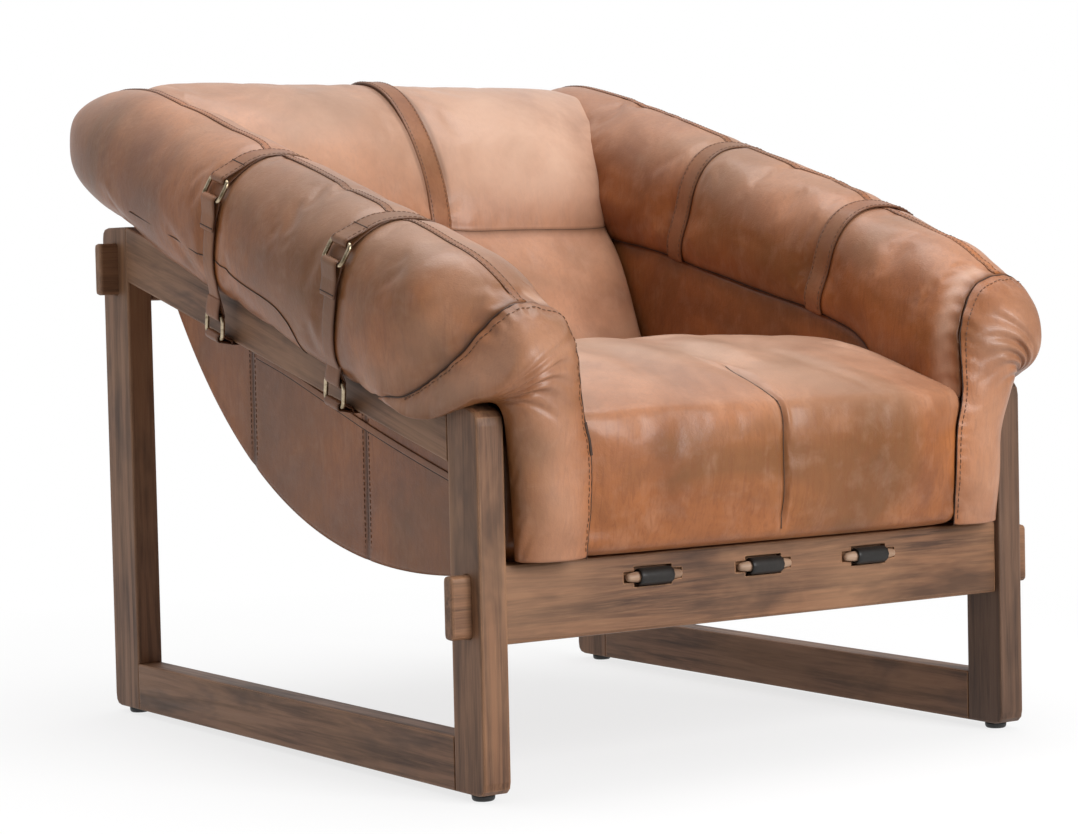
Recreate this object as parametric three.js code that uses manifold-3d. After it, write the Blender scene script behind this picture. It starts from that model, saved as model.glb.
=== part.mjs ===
// Leather sling lounge chair: a pegged wooden frame that carries a padded leather tub on three straps.
// X runs across the chair, the chair faces -Y and +Z is up. Heights are measured from the floor.
import * as THREE from 'three';
import { mergeVertices } from 'three/addons/utils/BufferGeometryUtils.js';
import Module from 'manifold-3d';

const wasm = await Module();
wasm.setup();

// Clearances between pieces
const FIT = 0.3;
const SOFT_GAP = 0.5;

// Side frames: Y is measured from the front face of the front posts
const FRAME_WIDTH = 720;
const FRAME_DEPTH = 836;
const BOARD = 32;
const FRONT_POST_DEPTH = 56;
const REAR_POST_DEPTH = 66;
const ARM_FRONT_HEIGHT = 390;
const ARM_SLOPE = THREE.MathUtils.degToRad(14.5);
const RAIL_HEIGHT = 64;
const RUNNER_HEIGHT = 56;
const EASED_EDGE = 2.5;
const FOOT_ROUND = 14;
const ARM_ROUND = 14;
const HIDDEN_TENON_LENGTH = 18;
const HIDDEN_TENON_THICK = 12;
const HIDDEN_TENON_SHOULDER = 11;

// Glides under the posts
const GLIDE_HEIGHT = 7;
const GLIDE_RADIUS = 12;
const GLIDE_TAPER = 1.5;
const GLIDE_SIDES = 20;

// Cross rails with through tenons
const CROSS_RAIL_THICK = 30;
const CROSS_RAIL_ROUND = 4;
const APRON_SET_BACK = 8;
const APRON_LOW = 156;
const APRON_HEIGHT = 80;
const REAR_RAIL_SET_IN = 20;
const REAR_RAIL_DROP = 11.1;
const REAR_RAIL_HEIGHT = 78;
const TENON_THICK = 16.6;
const TENON_SHOULDER = 8;
const TENON_OUT = 23;
const TENON_ROUND = 6;
const TENON_EASED = 3;

// Toggle pegs and the looped straps of the sling
const STRAP_COUNT = 3;
const STRAP_SPACING = 144;
const SLING_STRAP_WIDTH = 46;
const SLING_STRAP_THICK = 3.4;
const PEG_LENGTH = 70;
const PEG_RADIUS = 5.5;
const PEG_TIP_RADIUS = 3.4;
const PEG_TAPER_LENGTH = 13;
const PEG_RUNNING_GAP = 0.6;
const PEG_SIDES = 14;
const PEG_STANDS_OUT = 2;
const FRONT_PEG_DROP = 24;
const REAR_PEG_DROP = 33;
const POCKET_GAP = 1;
const STRAP_LEAVES_SLING = 0.75;
const STRAP_MEETS_SLING = 0.16;
const REAR_STRAP_SLOPE = 0.62;

// Profile of the sling, seen from the side, hung between the apron and the rear rail
const SLING_FRONT_DROP = 12;
const SLING_LOW_SHARE = 0.405;
const SLING_LOW_DROP = 49;
const SLING_BACK_SHARE = 0.75;
const SLING_BACK_RISE = 26;
const SLING_TOP_SET_IN = 28;
const SLING_TOP_DROP = 6;
const SLING_THICK = 5;
const SLING_STEPS = 22;
const SIDE_PANEL_THICK = 4;
const SIDE_PANEL_LAP = 20;

// Padding: arms, seat and back
const ARM_PAD_WIDTH = 74;
const PAD_ROUND = 7;
const PAD_REAR_HEIGHT = 18;
const BOLSTER_WIDTH = 142;
const BOLSTER_OVERHANG = 35;
const BOLSTER_FRONT_HEIGHT = 146;
const BOLSTER_REAR_HEIGHT = 174;
const BOLSTER_LIP = 16;
const BOLSTER_REAR_OVERHANG = 75;
const BOLSTER_SQUARENESS = 2.6;
const BOLSTER_FRONT_BLUNTNESS = 40;
const BOLSTER_REAR_BLUNTNESS = 4;
const GUSSET_NOSE = 36;
const GUSSET_BACK = 18;
const GUSSET_ROUND = 22;
const GUSSET_INSET = 10;
const GUSSET_ROLL_OVER = 0.32;
const SEAT_NOSE = 36;
const SEAT_NOSE_HEIGHT = 310;
const SEAT_CREST = 447;
const SEAT_CREST_BACK = 150;
const SEAT_TAIL_CLEAR = 256;
const SEAT_TAIL_HEIGHT = 350;
const SEAT_CROWN = 38;
const SEAT_SEAM_DEPTH = 5;
const SEAT_SEAM_SPREAD = 0.09;
const SEAT_BLUNTNESS = 9;
const BACK_RISE = 187;
const BACK_CREST_SET_IN = 30;
const BACK_TUFT_SET_IN = 215;
const BACK_TUFT_DROP = 2;
const BACK_TUFT_DEPTH = 9;
const BACK_TUFT_SPREAD = 22;
const BACK_TOP_WIDTH = 600;
const BACK_WIDENS_BELOW = 30;
const BACK_STRAP_CHANNEL = 4;
const BACK_CHANNEL_SPREAD = 0.1;
const BACK_BLUNTNESS = 7;
const CUSHION_SINK = 20;
const BACK_UNDER_SHARES = [0.9, 0.7];
const SEAT_UNDER_SHARES = [0.6, 0.3, 0.05];
const CUSHION_ROUND_STEPS = 44;
const BACK_ACROSS_STEPS = 14;
const SEAT_ACROSS_STEPS = 16;
const BOLSTER_ROUND_STEPS = 28;
const BOLSTER_ALONG_STEPS = 18;

// Cushion outlines in side view, as [depth, height] steps away from a named place
const SEAT_FACE_FROM_NOSE = [[14, -70], [0, 0], [3, 55], [34, 100]];
const SEAT_TOP_FROM_CREST = [[-90, -14], [0, 0], [190, -15]];
const SEAT_END_FROM_TAIL = [[-40, 55], [0, 0]];
const BACK_FACE_FROM_TUFT = [[-101, -191], [-61, -96], [-4, 0], [48, 94]];
const BACK_ROLL_FROM_CREST = [[-75, -30], [0, 0], [60, -48], [50, -115]];

// Buckled straps over the arms and the sewn strap down the back
const ARM_STRAP_PLACES = { front: 240, rear: 515 };
const ARM_STRAP_WIDTH = 30;
const ARM_STRAP_THICK = 3;
const BACK_STRAP_WIDTH = 26;
const RING_WIRE = 5;
const RING_LENGTH = 25;
const RING_TOP_ANGLE = 34;
const RING_LOW_ANGLE = 13;
const RING_SIDE_GAP = 1.5;
const RING_CORNER = 6;
const RING_EASED = 1.4;
const LOOP_GAP = 0.7;
const LOOP_WALL = 2.6;
const ARM_STRAP_START_ANGLE = 222;
const ARM_STRAP_LIFT_ANGLE = 18;
const LOWER_STRAP_FIRST_ANGLE = 15;
const LOWER_STRAP_LAST_ANGLE = 35;
const LOWER_RING_OUT = 20;
const LOWER_RING_LEAN = 2;
const LOWER_RING_DROP = 34;
const TAB_DROP = 2;

// Places worked out from the sizes above
const halfFrame = FRAME_WIDTH / 2;
const innerFace = halfFrame - BOARD;
const armInner = innerFace - ARM_PAD_WIDTH;
const rearPostFront = FRAME_DEPTH - REAR_POST_DEPTH;
const armSin = Math.sin(ARM_SLOPE);
const armCos = Math.cos(ARM_SLOPE);
const railTop = (y) => ARM_FRONT_HEIGHT + y * Math.tan(ARM_SLOPE);
const railLow = (y) => railTop(y) - RAIL_HEIGHT / armCos;
const apronTop = APRON_LOW + APRON_HEIGHT;
const apronBack = APRON_SET_BACK + CROSS_RAIL_THICK;
const rearRailTop = railTop(rearPostFront) - REAR_RAIL_DROP;
const rearRailLow = rearRailTop - REAR_RAIL_HEIGHT;
const rearRailBack = FRAME_DEPTH - REAR_RAIL_SET_IN;
const rearRailFront = rearRailBack - CROSS_RAIL_THICK;
const backTop = rearRailTop + BACK_RISE;
const pegLoopInner = PEG_RADIUS + PEG_RUNNING_GAP;
const pegLoopOuter = pegLoopInner + SLING_STRAP_THICK;

// Finishes
const finishes = {
  walnut: { color: 0x5a4233, roughness: 0.62, metalness: 0 },
  pegWood: { color: 0xc79a6b, roughness: 0.6, metalness: 0 },
  leather: { color: 0x9c5a35, roughness: 0.45, metalness: 0 },
  strapLeather: { color: 0x7a4526, roughness: 0.55, metalness: 0 },
  darkLeather: { color: 0x2b2a2e, roughness: 0.6, metalness: 0 },
  nickel: { color: 0xb8a78c, roughness: 0.32, metalness: 1 },
  glide: { color: 0x18171a, roughness: 0.7, metalness: 0 },
};

// Group of everything, and the group that is turned to lie along the arm rails.
// Inside the arm group X is outboard, Y runs up the rail and Z stands square off its top edge.
const chair = new THREE.Group();
const arms = new THREE.Group();
arms.position.z = ARM_FRONT_HEIGHT;
arms.rotation.x = ARM_SLOPE;
chair.add(arms);

function put(group, name, geometry, finish) {
  const mesh = new THREE.Mesh(geometry, new THREE.MeshStandardMaterial(finishes[finish]));
  mesh.name = name;
  group.add(mesh);
  return mesh;
}

// Keeps only positions, joins equal vertices, drops empty triangles and turns the faces outward
function closed(geometry) {
  geometry.deleteAttribute('normal');
  geometry.deleteAttribute('uv');
  const merged = mergeVertices(geometry);
  const corner = merged.index.array;
  const at = (i) => new THREE.Vector3().fromBufferAttribute(merged.attributes.position, i);
  const faces = [];
  let volume = 0;
  for (let i = 0; i < corner.length; i += 3) {
    const [a, b, c] = corner.slice(i, i + 3);
    if (a !== b && b !== c && c !== a) {
      faces.push([a, b, c]);
      volume += at(a).dot(at(b).cross(at(c)));
    }
  }
  merged.setIndex(faces.flatMap(([a, b, c]) => (volume < 0 ? [a, c, b] : [a, b, c])));
  return merged;
}

function solid(geometry) {
  const { attributes, index } = closed(geometry);
  const vertProperties = new Float32Array(attributes.position.array);
  const triVerts = new Uint32Array(index.array);
  return new wasm.Manifold(new wasm.Mesh({ numProp: 3, vertProperties, triVerts }));
}

function geometryOf(manifold) {
  const mesh = manifold.getMesh();
  const geometry = new THREE.BufferGeometry();
  geometry.setAttribute('position', new THREE.BufferAttribute(mesh.vertProperties, 3));
  geometry.setIndex(new THREE.BufferAttribute(mesh.triVerts, 1));
  return geometry;
}

function cut(body, ...tools) {
  return geometryOf(tools.reduce((rest, tool) => rest.subtract(solid(tool)), solid(body)));
}

function join(body, ...pieces) {
  return geometryOf(pieces.reduce((whole, piece) => whole.add(solid(piece)), solid(body)));
}

function keepInside(body, limit) {
  return geometryOf(solid(body).intersect(solid(limit)));
}

function mirrored(geometry) {
  return closed(geometry.clone().scale(-1, 1, 1));
}

// Puts a right-hand piece and its mirror image into a group
function putPair(group, name, geometry, finish) {
  const body = closed(geometry);
  put(group, `right_${name}`, body, finish);
  put(group, `left_${name}`, mirrored(body), finish);
}

function box(x0, x1, y0, y1, z0, z1) {
  const geometry = new THREE.BoxGeometry(x1 - x0, y1 - y0, z1 - z0);
  return geometry.translate((x0 + x1) / 2, (y0 + y1) / 2, (z0 + z1) / 2);
}

// Outline through corner points [across, up, rounding], each corner rounded by a curve
function roundedShape(corners) {
  const shape = new THREE.Shape();
  corners.forEach(([x, y, round], i) => {
    const corner = new THREE.Vector2(x, y);
    const toward = (other) => {
      const way = new THREE.Vector2(other[0], other[1]).sub(corner);
      const length = Math.min(round, way.length() / 2);
      return way.setLength(length).add(corner);
    };
    const start = toward(corners.at(i - 1));
    const end = toward(corners[(i + 1) % corners.length]);
    if (i === 0) shape.moveTo(start.x, start.y);
    else shape.lineTo(start.x, start.y);
    if (round > 0) shape.quadraticCurveTo(x, y, end.x, end.y);
  });
  return shape;
}

function rectangle(x0, x1, y0, y1, round) {
  return roundedShape([[x0, y0, round], [x1, y0, round], [x1, y1, round], [x0, y1, round]]);
}

// Side-view outline (Y, Z) carried across the chair from x0 to x1, with its edges eased
function sideBoard(shape, x0, x1, eased, curveSegments = 3) {
  const bevel = { bevelThickness: eased, bevelSize: eased, bevelOffset: -eased, bevelSegments: 2 };
  const depth = x1 - x0 - 2 * eased;
  const geometry = new THREE.ExtrudeGeometry(shape, {
    depth, curveSegments, bevelEnabled: eased > 0, steps: 1, ...bevel,
  });
  return geometry.rotateX(Math.PI / 2).rotateZ(Math.PI / 2).translate(x0 + eased, 0, 0);
}

// Band between two distances from a flat curve, on the left of its direction of travel
function ribbonShape(curve, low, high, steps, from = 0, to = 1) {
  const edge = (distance) => Array.from({ length: steps + 1 }, (_, i) => {
    const t = from + ((to - from) * i) / steps;
    const way = curve.getTangent(t);
    return curve.getPoint(t).add(new THREE.Vector2(-way.y, way.x).multiplyScalar(distance));
  });
  return new THREE.Shape([...edge(low), ...edge(high).reverse()]);
}

// Closed form of rings: point(u, v) goes once round as u goes from 0 to 1, and v runs from end to end
function loft(point, around, along) {
  const geometry = new THREE.SphereGeometry(1, around, along);
  const { position, uv } = geometry.attributes;
  for (let i = 0; i < position.count; i += 1) {
    const p = point(uv.getX(i), 1 - uv.getY(i));
    position.setXYZ(i, p.x, p.y, p.z);
  }
  return closed(geometry);
}

// Size of a loft's ring at a place q from -1 to 1 along it: blunt for a high exponent, round for a low one
const endSize = (q, exponent) => (1 - Math.abs(q) ** exponent) ** (1 / exponent);
const squarePower = (value) => Math.sign(value) * Math.abs(value) ** (2 / BOLSTER_SQUARENESS);

// Side frames: two posts, a bottom runner and a sloping arm rail, flush with each other
function tenonBox(y0, y1, low, high, gap) {
  const middle = halfFrame - BOARD / 2;
  const half = HIDDEN_TENON_THICK / 2 + gap;
  return box(middle - half, middle + half, y0 - gap, y1 + gap, low - gap, high + gap);
}

const runnerTop = GLIDE_HEIGHT + RUNNER_HEIGHT;
const tenonRoot = HIDDEN_TENON_SHOULDER;
const railEnds = [FRONT_POST_DEPTH, rearPostFront];
const hiddenTenons = {
  runner: railEnds.map(() => [GLIDE_HEIGHT + HIDDEN_TENON_SHOULDER, runnerTop - HIDDEN_TENON_SHOULDER]),
  arm_rail: railEnds.map((y) => [railLow(y) + HIDDEN_TENON_SHOULDER, railTop(y) - HIDDEN_TENON_SHOULDER]),
};

function hiddenTenon(kind, end, gap) {
  const [low, high] = hiddenTenons[kind][end];
  const face = railEnds[end];
  const reach = end === 0 ? -HIDDEN_TENON_LENGTH : HIDDEN_TENON_LENGTH;
  const root = end === 0 ? tenonRoot : -tenonRoot;
  return tenonBox(Math.min(face + reach, face + root), Math.max(face + reach, face + root), low, high, gap);
}

function throughTenon(front, low, high, gap, reach) {
  const back = front + TENON_THICK;
  const shape = rectangle(front - gap, back + gap, low - gap, high + gap, TENON_ROUND);
  return sideBoard(shape, -reach, reach, TENON_EASED);
}

const throughTenons = {
  apron: [APRON_SET_BACK + TENON_SHOULDER, APRON_LOW + TENON_SHOULDER, apronTop - TENON_SHOULDER],
  rear_rail: [rearRailFront + TENON_SHOULDER, rearRailLow + TENON_SHOULDER, rearRailTop - TENON_SHOULDER],
};

function post(corners, end, tenon) {
  const body = sideBoard(roundedShape(corners), innerFace, halfFrame, EASED_EDGE);
  const through = throughTenon(...throughTenons[tenon], FIT, FRAME_WIDTH);
  return cut(body, through, hiddenTenon('runner', end, FIT), hiddenTenon('arm_rail', end, FIT));
}

function lengthwiseBoard(kind, low, high) {
  const [y0, y1] = [railEnds[0] - tenonRoot, railEnds[1] + tenonRoot];
  const corners = [[y0, low(y0), 0], [y1, low(y1), 0], [y1, high(y1), 0], [y0, high(y0), 0]];
  const board = sideBoard(roundedShape(corners), innerFace, halfFrame, EASED_EDGE, 1);
  const span = box(0, FRAME_WIDTH, railEnds[0] + FIT, railEnds[1] - FIT, 0, 2 * ARM_FRONT_HEIGHT);
  return join(keepInside(board, span), hiddenTenon(kind, 0, 0), hiddenTenon(kind, 1, 0));
}

putPair(chair, 'front_post', post([
  [0, GLIDE_HEIGHT, FOOT_ROUND],
  [FRONT_POST_DEPTH, GLIDE_HEIGHT, 0],
  [FRONT_POST_DEPTH, railTop(FRONT_POST_DEPTH), 0],
  [0, railTop(0), ARM_ROUND],
], 0, 'apron'), 'walnut');

putPair(chair, 'rear_post', post([
  [rearPostFront, GLIDE_HEIGHT, 0],
  [FRAME_DEPTH, GLIDE_HEIGHT, FOOT_ROUND],
  [FRAME_DEPTH, railTop(rearPostFront), ARM_ROUND],
  [rearPostFront, railTop(rearPostFront), 0],
], 1, 'rear_rail'), 'walnut');

putPair(chair, 'runner', lengthwiseBoard('runner', () => GLIDE_HEIGHT, () => runnerTop), 'walnut');
putPair(chair, 'arm_rail', lengthwiseBoard('arm_rail', railLow, railTop), 'walnut');

// Glides: turned discs under the middle of each post
const glideProfile = [
  [0, 0],
  [GLIDE_RADIUS - GLIDE_TAPER, 0],
  [GLIDE_RADIUS, GLIDE_TAPER],
  [GLIDE_RADIUS, GLIDE_HEIGHT - FIT],
  [0, GLIDE_HEIGHT - FIT],
].map(([radius, height]) => new THREE.Vector2(radius, height));
const glidePlaces = { front: FRONT_POST_DEPTH / 2, rear: FRAME_DEPTH - REAR_POST_DEPTH / 2 };

for (const [end, y] of Object.entries(glidePlaces)) {
  for (const [side, x] of [['right', halfFrame - BOARD / 2], ['left', BOARD / 2 - halfFrame]]) {
    const glide = closed(new THREE.LatheGeometry(glideProfile, GLIDE_SIDES).rotateX(Math.PI / 2));
    put(chair, `${side}_${end}_glide`, glide, 'glide').position.set(x, y, 0);
  }
}

// Cross rails: the front apron and the rear rail, with pockets for the toggles on their outer faces
const frontPeg = new THREE.Vector2(APRON_SET_BACK - PEG_STANDS_OUT, apronTop - FRONT_PEG_DROP);
const rearPeg = new THREE.Vector2(rearRailBack + PEG_STANDS_OUT, rearRailTop - REAR_PEG_DROP);
const strapPlaces = Array.from({ length: STRAP_COUNT }, (_, i) => (
  (i - (STRAP_COUNT - 1) / 2) * STRAP_SPACING
));

function togglePockets(x, peg, inward) {
  const half = SLING_STRAP_WIDTH / 2 + POCKET_GAP;
  const reach = pegLoopOuter + POCKET_GAP;
  const slot = SLING_STRAP_THICK / 2 + 2 * POCKET_GAP;
  const deep = peg.x + inward * reach;
  const through = peg.x + inward * 2 * CROSS_RAIL_THICK;
  const pocket = box(
    x - half, x + half, Math.min(peg.x, deep), Math.max(peg.x, deep), peg.y - reach, peg.y + reach,
  );
  const passage = box(
    x - half, x + half, Math.min(peg.x, through), Math.max(peg.x, through), peg.y - slot, peg.y + slot,
  );
  const groove = new THREE.CylinderGeometry(
    PEG_RADIUS + POCKET_GAP, PEG_RADIUS + POCKET_GAP, PEG_LENGTH + 4 * POCKET_GAP, 12,
  );
  groove.rotateZ(Math.PI / 2).translate(x, peg.x, peg.y);
  return [pocket, passage, groove];
}

function crossRail(front, low, high, tenon, peg, inward) {
  const reach = innerFace - FIT;
  const shape = rectangle(front, front + CROSS_RAIL_THICK, low, high, CROSS_RAIL_ROUND);
  const body = sideBoard(shape, -reach, reach, 0, 2);
  const whole = join(body, throughTenon(...throughTenons[tenon], 0, halfFrame + TENON_OUT));
  return cut(whole, ...strapPlaces.flatMap((x) => togglePockets(x, peg, inward)));
}

put(chair, 'front_apron', crossRail(APRON_SET_BACK, APRON_LOW, apronTop, 'apron', frontPeg, 1), 'walnut');
put(
  chair, 'rear_rail',
  crossRail(rearRailFront, rearRailLow, rearRailTop, 'rear_rail', rearPeg, -1), 'walnut',
);

// Toggle pegs: turned, tapering to both ends, lying along X
const pegProfile = [
  [0, -PEG_LENGTH / 2],
  [PEG_TIP_RADIUS, -PEG_LENGTH / 2],
  [PEG_RADIUS, PEG_TAPER_LENGTH - PEG_LENGTH / 2],
  [PEG_RADIUS, PEG_LENGTH / 2 - PEG_TAPER_LENGTH],
  [PEG_TIP_RADIUS, PEG_LENGTH / 2],
  [0, PEG_LENGTH / 2],
].map(([radius, height]) => new THREE.Vector2(radius, height));

for (const [end, peg] of Object.entries({ front: frontPeg, rear: rearPeg })) {
  strapPlaces.forEach((x, i) => {
    const geometry = closed(new THREE.LatheGeometry(pegProfile, PEG_SIDES).rotateZ(-Math.PI / 2));
    put(chair, `${end}_peg_${i + 1}`, geometry, 'pegWood').position.set(x, peg.x, peg.y);
  });
}

// Sling: one curved sheet from behind the apron up to the rear rail, seen from the side as a single curve
const slingFront = new THREE.Vector2(apronBack + 2 * SOFT_GAP, apronTop - SLING_FRONT_DROP);
const slingTop = new THREE.Vector2(rearRailFront - SLING_TOP_SET_IN, rearRailTop - SLING_TOP_DROP);
const alongSling = (share) => THREE.MathUtils.lerp(slingFront.x, slingTop.x, share);
const slingCurve = new THREE.CubicBezierCurve(
  slingFront,
  new THREE.Vector2(alongSling(SLING_LOW_SHARE), apronTop - SLING_LOW_DROP),
  new THREE.Vector2(alongSling(SLING_BACK_SHARE), apronTop + SLING_BACK_RISE),
  slingTop,
);
const slingHalf = innerFace - SIDE_PANEL_THICK - 3 * SOFT_GAP;
const slingShape = ribbonShape(slingCurve, 0, SLING_THICK, SLING_STEPS);
put(chair, 'sling_base', closed(sideBoard(slingShape, -slingHalf, slingHalf, 0, 1)), 'leather');

// Points a distance above the sling's curve, from its top end down to its front end
const aboveSling = (gap) => ribbonShape(slingCurve, 0, gap, SLING_STEPS).getPoints().slice(SLING_STEPS + 1);

// Space under the cushions: all that lies below the sheet, the apron's top and the rear rail's top
function spaceUnderSling(gap) {
  const frontLevel = apronTop + gap;
  const rearLevel = Math.max(slingTop.y, rearRailTop) + SLING_THICK + gap;
  const shape = new THREE.Shape([
    new THREE.Vector2(-FRAME_DEPTH, 0),
    new THREE.Vector2(2 * FRAME_DEPTH, 0),
    new THREE.Vector2(2 * FRAME_DEPTH, rearLevel),
    ...aboveSling(SLING_THICK + gap),
    new THREE.Vector2(apronBack + gap, frontLevel),
    new THREE.Vector2(-FRAME_DEPTH, frontLevel),
  ]);
  return sideBoard(shape, -FRAME_WIDTH, FRAME_WIDTH, 0, 1);
}

// Straps under the sling: each runs from a loop round its front peg to a loop round its rear peg
function slingStrap() {
  const below = -(SLING_STRAP_THICK / 2 + SOFT_GAP);
  const under = (t) => {
    const way = slingCurve.getTangent(t);
    return slingCurve.getPoint(t).add(new THREE.Vector2(-way.y, way.x).multiplyScalar(below));
  };
  const wall = (pegLoopInner + pegLoopOuter) / 2;
  const underPlaces = Array.from({ length: 6 }, (_, i) => (
    under(THREE.MathUtils.lerp(STRAP_MEETS_SLING, STRAP_LEAVES_SLING, i / 5))
  ));
  const route = new THREE.SplineCurve([
    new THREE.Vector2(frontPeg.x + wall, frontPeg.y),
    new THREE.Vector2(apronBack, frontPeg.y),
    ...underPlaces,
    new THREE.Vector2(rearRailFront - CROSS_RAIL_THICK, rearPeg.y - CROSS_RAIL_THICK * REAR_STRAP_SLOPE),
    new THREE.Vector2(rearRailFront, rearPeg.y - POCKET_GAP),
    new THREE.Vector2(rearPeg.x - wall, rearPeg.y),
  ]);
  const half = SLING_STRAP_THICK / 2;
  const loops = [frontPeg, rearPeg].map((peg) => {
    const ring = new THREE.Shape().absarc(peg.x, peg.y, pegLoopOuter, 0, 2 * Math.PI);
    ring.holes.push(new THREE.Path().absarc(peg.x, peg.y, pegLoopInner, 0, 2 * Math.PI, true));
    return sideBoard(ring, -SLING_STRAP_WIDTH / 2, SLING_STRAP_WIDTH / 2, 0, 7);
  });
  const band = sideBoard(
    ribbonShape(route, -half, half, 24), -SLING_STRAP_WIDTH / 2, SLING_STRAP_WIDTH / 2, 0, 1,
  );
  return join(band, ...loops);
}

strapPlaces.forEach((x, i) => {
  put(chair, `sling_strap_${i + 1}`, slingStrap(), 'darkLeather').position.x = x;
});

// Side panels of the tub: hang inside the rails, with the sling's curve as their lower edge
const sidePanelFront = GUSSET_BACK + SOFT_GAP;

function sideOutline(gap, topDrop, rearHeight) {
  const lower = aboveSling(gap).reverse();
  const topLine = (y) => railTop(y) - topDrop / armCos;
  const rising = lower.filter((p) => p.x > sidePanelFront && p.y < topLine(p.x) - rearHeight);
  const last = rising.at(-1);
  return new THREE.Shape([
    new THREE.Vector2(sidePanelFront, Math.max(rising[0].y, apronTop + SOFT_GAP)),
    new THREE.Vector2(apronBack + SOFT_GAP, Math.max(rising[0].y, apronTop + SOFT_GAP)),
    ...rising.filter((p) => p.x > apronBack + 2 * SOFT_GAP),
    new THREE.Vector2(last.x, topLine(last.x)),
    new THREE.Vector2(sidePanelFront, topLine(sidePanelFront)),
  ]);
}

const panelIn = innerFace - SIDE_PANEL_THICK - 2 * SOFT_GAP;
putPair(
  chair, 'side_panel',
  sideBoard(sideOutline(0, SIDE_PANEL_LAP, SOFT_GAP), panelIn, panelIn + SIDE_PANEL_THICK, 0, 1), 'leather',
);

// Arm pads: the padded inner walls between the sling and the underside of the bolsters
const padOutline = sideOutline(SLING_THICK + SOFT_GAP, -FIT, PAD_REAR_HEIGHT);
putPair(chair, 'arm_pad', sideBoard(padOutline, armInner, panelIn - SOFT_GAP, PAD_ROUND, 1), 'leather');

// Arm bolsters: fat rolls along the rails, taller toward the back, with a lip outside the rail
const bolsterMiddle = halfFrame + BOLSTER_OVERHANG - BOLSTER_WIDTH / 2;
const bolsterLength = (FRAME_DEPTH + BOLSTER_REAR_OVERHANG) / armCos;
const bolsterTaper = (BOLSTER_REAR_HEIGHT - BOLSTER_FRONT_HEIGHT) / bolsterLength;
const bolsterHeight = (s) => BOLSTER_FRONT_HEIGHT + bolsterTaper * s;

// Point of the bolster's section at a place s along the rail, a distance grown outward
function bolsterSection(s, angle, grow = 0) {
  const half = (bolsterHeight(s) + BOLSTER_LIP) / 2;
  return new THREE.Vector2(
    bolsterMiddle + (BOLSTER_WIDTH / 2 + grow) * squarePower(Math.cos(angle)),
    half - BOLSTER_LIP + (half + grow) * squarePower(Math.sin(angle)),
  );
}

function bolsterForm(grow) {
  const point = (u, v) => {
    const q = Math.cos(Math.PI * v);
    const size = endSize(q, q > 0 ? BOLSTER_FRONT_BLUNTNESS : BOLSTER_REAR_BLUNTNESS);
    const along = (1 - q) / 2;
    const edge = bolsterSection(along * bolsterLength, 2 * Math.PI * u, grow);
    const middle = new THREE.Vector2(bolsterMiddle, (bolsterHeight(along * bolsterLength) - BOLSTER_LIP) / 2);
    const at = middle.lerp(edge, size);
    const front = (GUSSET_BACK + SOFT_GAP - grow + at.y * armSin) / armCos;
    return new THREE.Vector3(at.x, front + along * (bolsterLength + grow - front), at.y);
  };
  return loft(point, BOLSTER_ROUND_STEPS, BOLSTER_ALONG_STEPS);
}

const overRail = box(
  0, halfFrame + 2 * SOFT_GAP, -FRAME_DEPTH, 2 * FRAME_DEPTH, -BOLSTER_REAR_HEIGHT, FIT + SOFT_GAP,
);
putPair(arms, 'arm_bolster', cut(bolsterForm(0), overRail), 'leather');

// Front gussets: padded end panels that cover the bolsters, arch over the post tops and run down to the apron
const archTop = railTop(GUSSET_BACK) + 2 * SOFT_GAP;
const gussetTop = railTop(GUSSET_BACK) + BOLSTER_FRONT_HEIGHT / armCos;
const gussetOut = halfFrame + BOLSTER_OVERHANG;
const gussetIn = armInner - SOFT_GAP;

// Bends the top of the panel down toward its front, as a share of its height over the arch
function rollOver(position) {
  for (let i = 0; i < position.count; i += 1) {
    const forward = Math.max(0, (GUSSET_BACK - position.getY(i)) / (GUSSET_BACK + GUSSET_NOSE));
    const rise = Math.max(0, position.getZ(i) - archTop);
    position.setZ(i, position.getZ(i) - GUSSET_ROLL_OVER * rise * forward ** 2);
  }
}

function gusset() {
  const lipIn = halfFrame + 2 * SOFT_GAP;
  const legOut = innerFace - 2 * SOFT_GAP;
  const shape = roundedShape([
    [gussetIn, apronTop + SOFT_GAP, 2 * GUSSET_INSET],
    [legOut, apronTop + SOFT_GAP, 2 * GUSSET_INSET],
    [legOut, archTop, 0],
    [lipIn, archTop, 0],
    [lipIn, archTop - BOLSTER_LIP, 0],
    [gussetOut - GUSSET_INSET, archTop - BOLSTER_LIP, 2 * GUSSET_INSET],
    [gussetOut, (archTop + gussetTop) / 2, 3 * GUSSET_ROUND],
    [bolsterMiddle + GUSSET_ROUND, gussetTop, 3 * GUSSET_ROUND],
    [gussetIn, gussetTop - GUSSET_ROUND, 3 * GUSSET_ROUND],
  ]);
  const body = new THREE.ExtrudeGeometry(shape, {
    depth: GUSSET_NOSE + GUSSET_BACK,
    steps: 2,
    curveSegments: 6,
    bevelThickness: GUSSET_ROUND,
    bevelSize: GUSSET_INSET,
    bevelOffset: -GUSSET_INSET,
    bevelSegments: 3,
  });
  body.rotateX(Math.PI / 2).translate(0, GUSSET_BACK + GUSSET_ROUND, 0);
  rollOver(body.attributes.position);
  const behind = box(0, FRAME_WIDTH, GUSSET_BACK, FRAME_DEPTH, 0, 2 * backTop);
  return cut(body, behind);
}

putPair(chair, 'front_gusset', gusset(), 'leather');

// Cushion outlines: a closed curve through points, and the middle of those points
const steps = (place, offsets) => offsets.map(([y, z]) => new THREE.Vector3(0, place.x + y, place.y + z));
const underCushion = (t) => {
  const at = slingCurve.getPoint(t);
  return new THREE.Vector3(0, at.x, at.y - CUSHION_SINK);
};
const outline = (points) => new THREE.CatmullRomCurve3(points, true, 'centripetal');
const middleOf = (points) => {
  const sum = points.reduce((total, p) => total.add(p), new THREE.Vector3());
  return sum.divideScalar(points.length);
};

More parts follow.
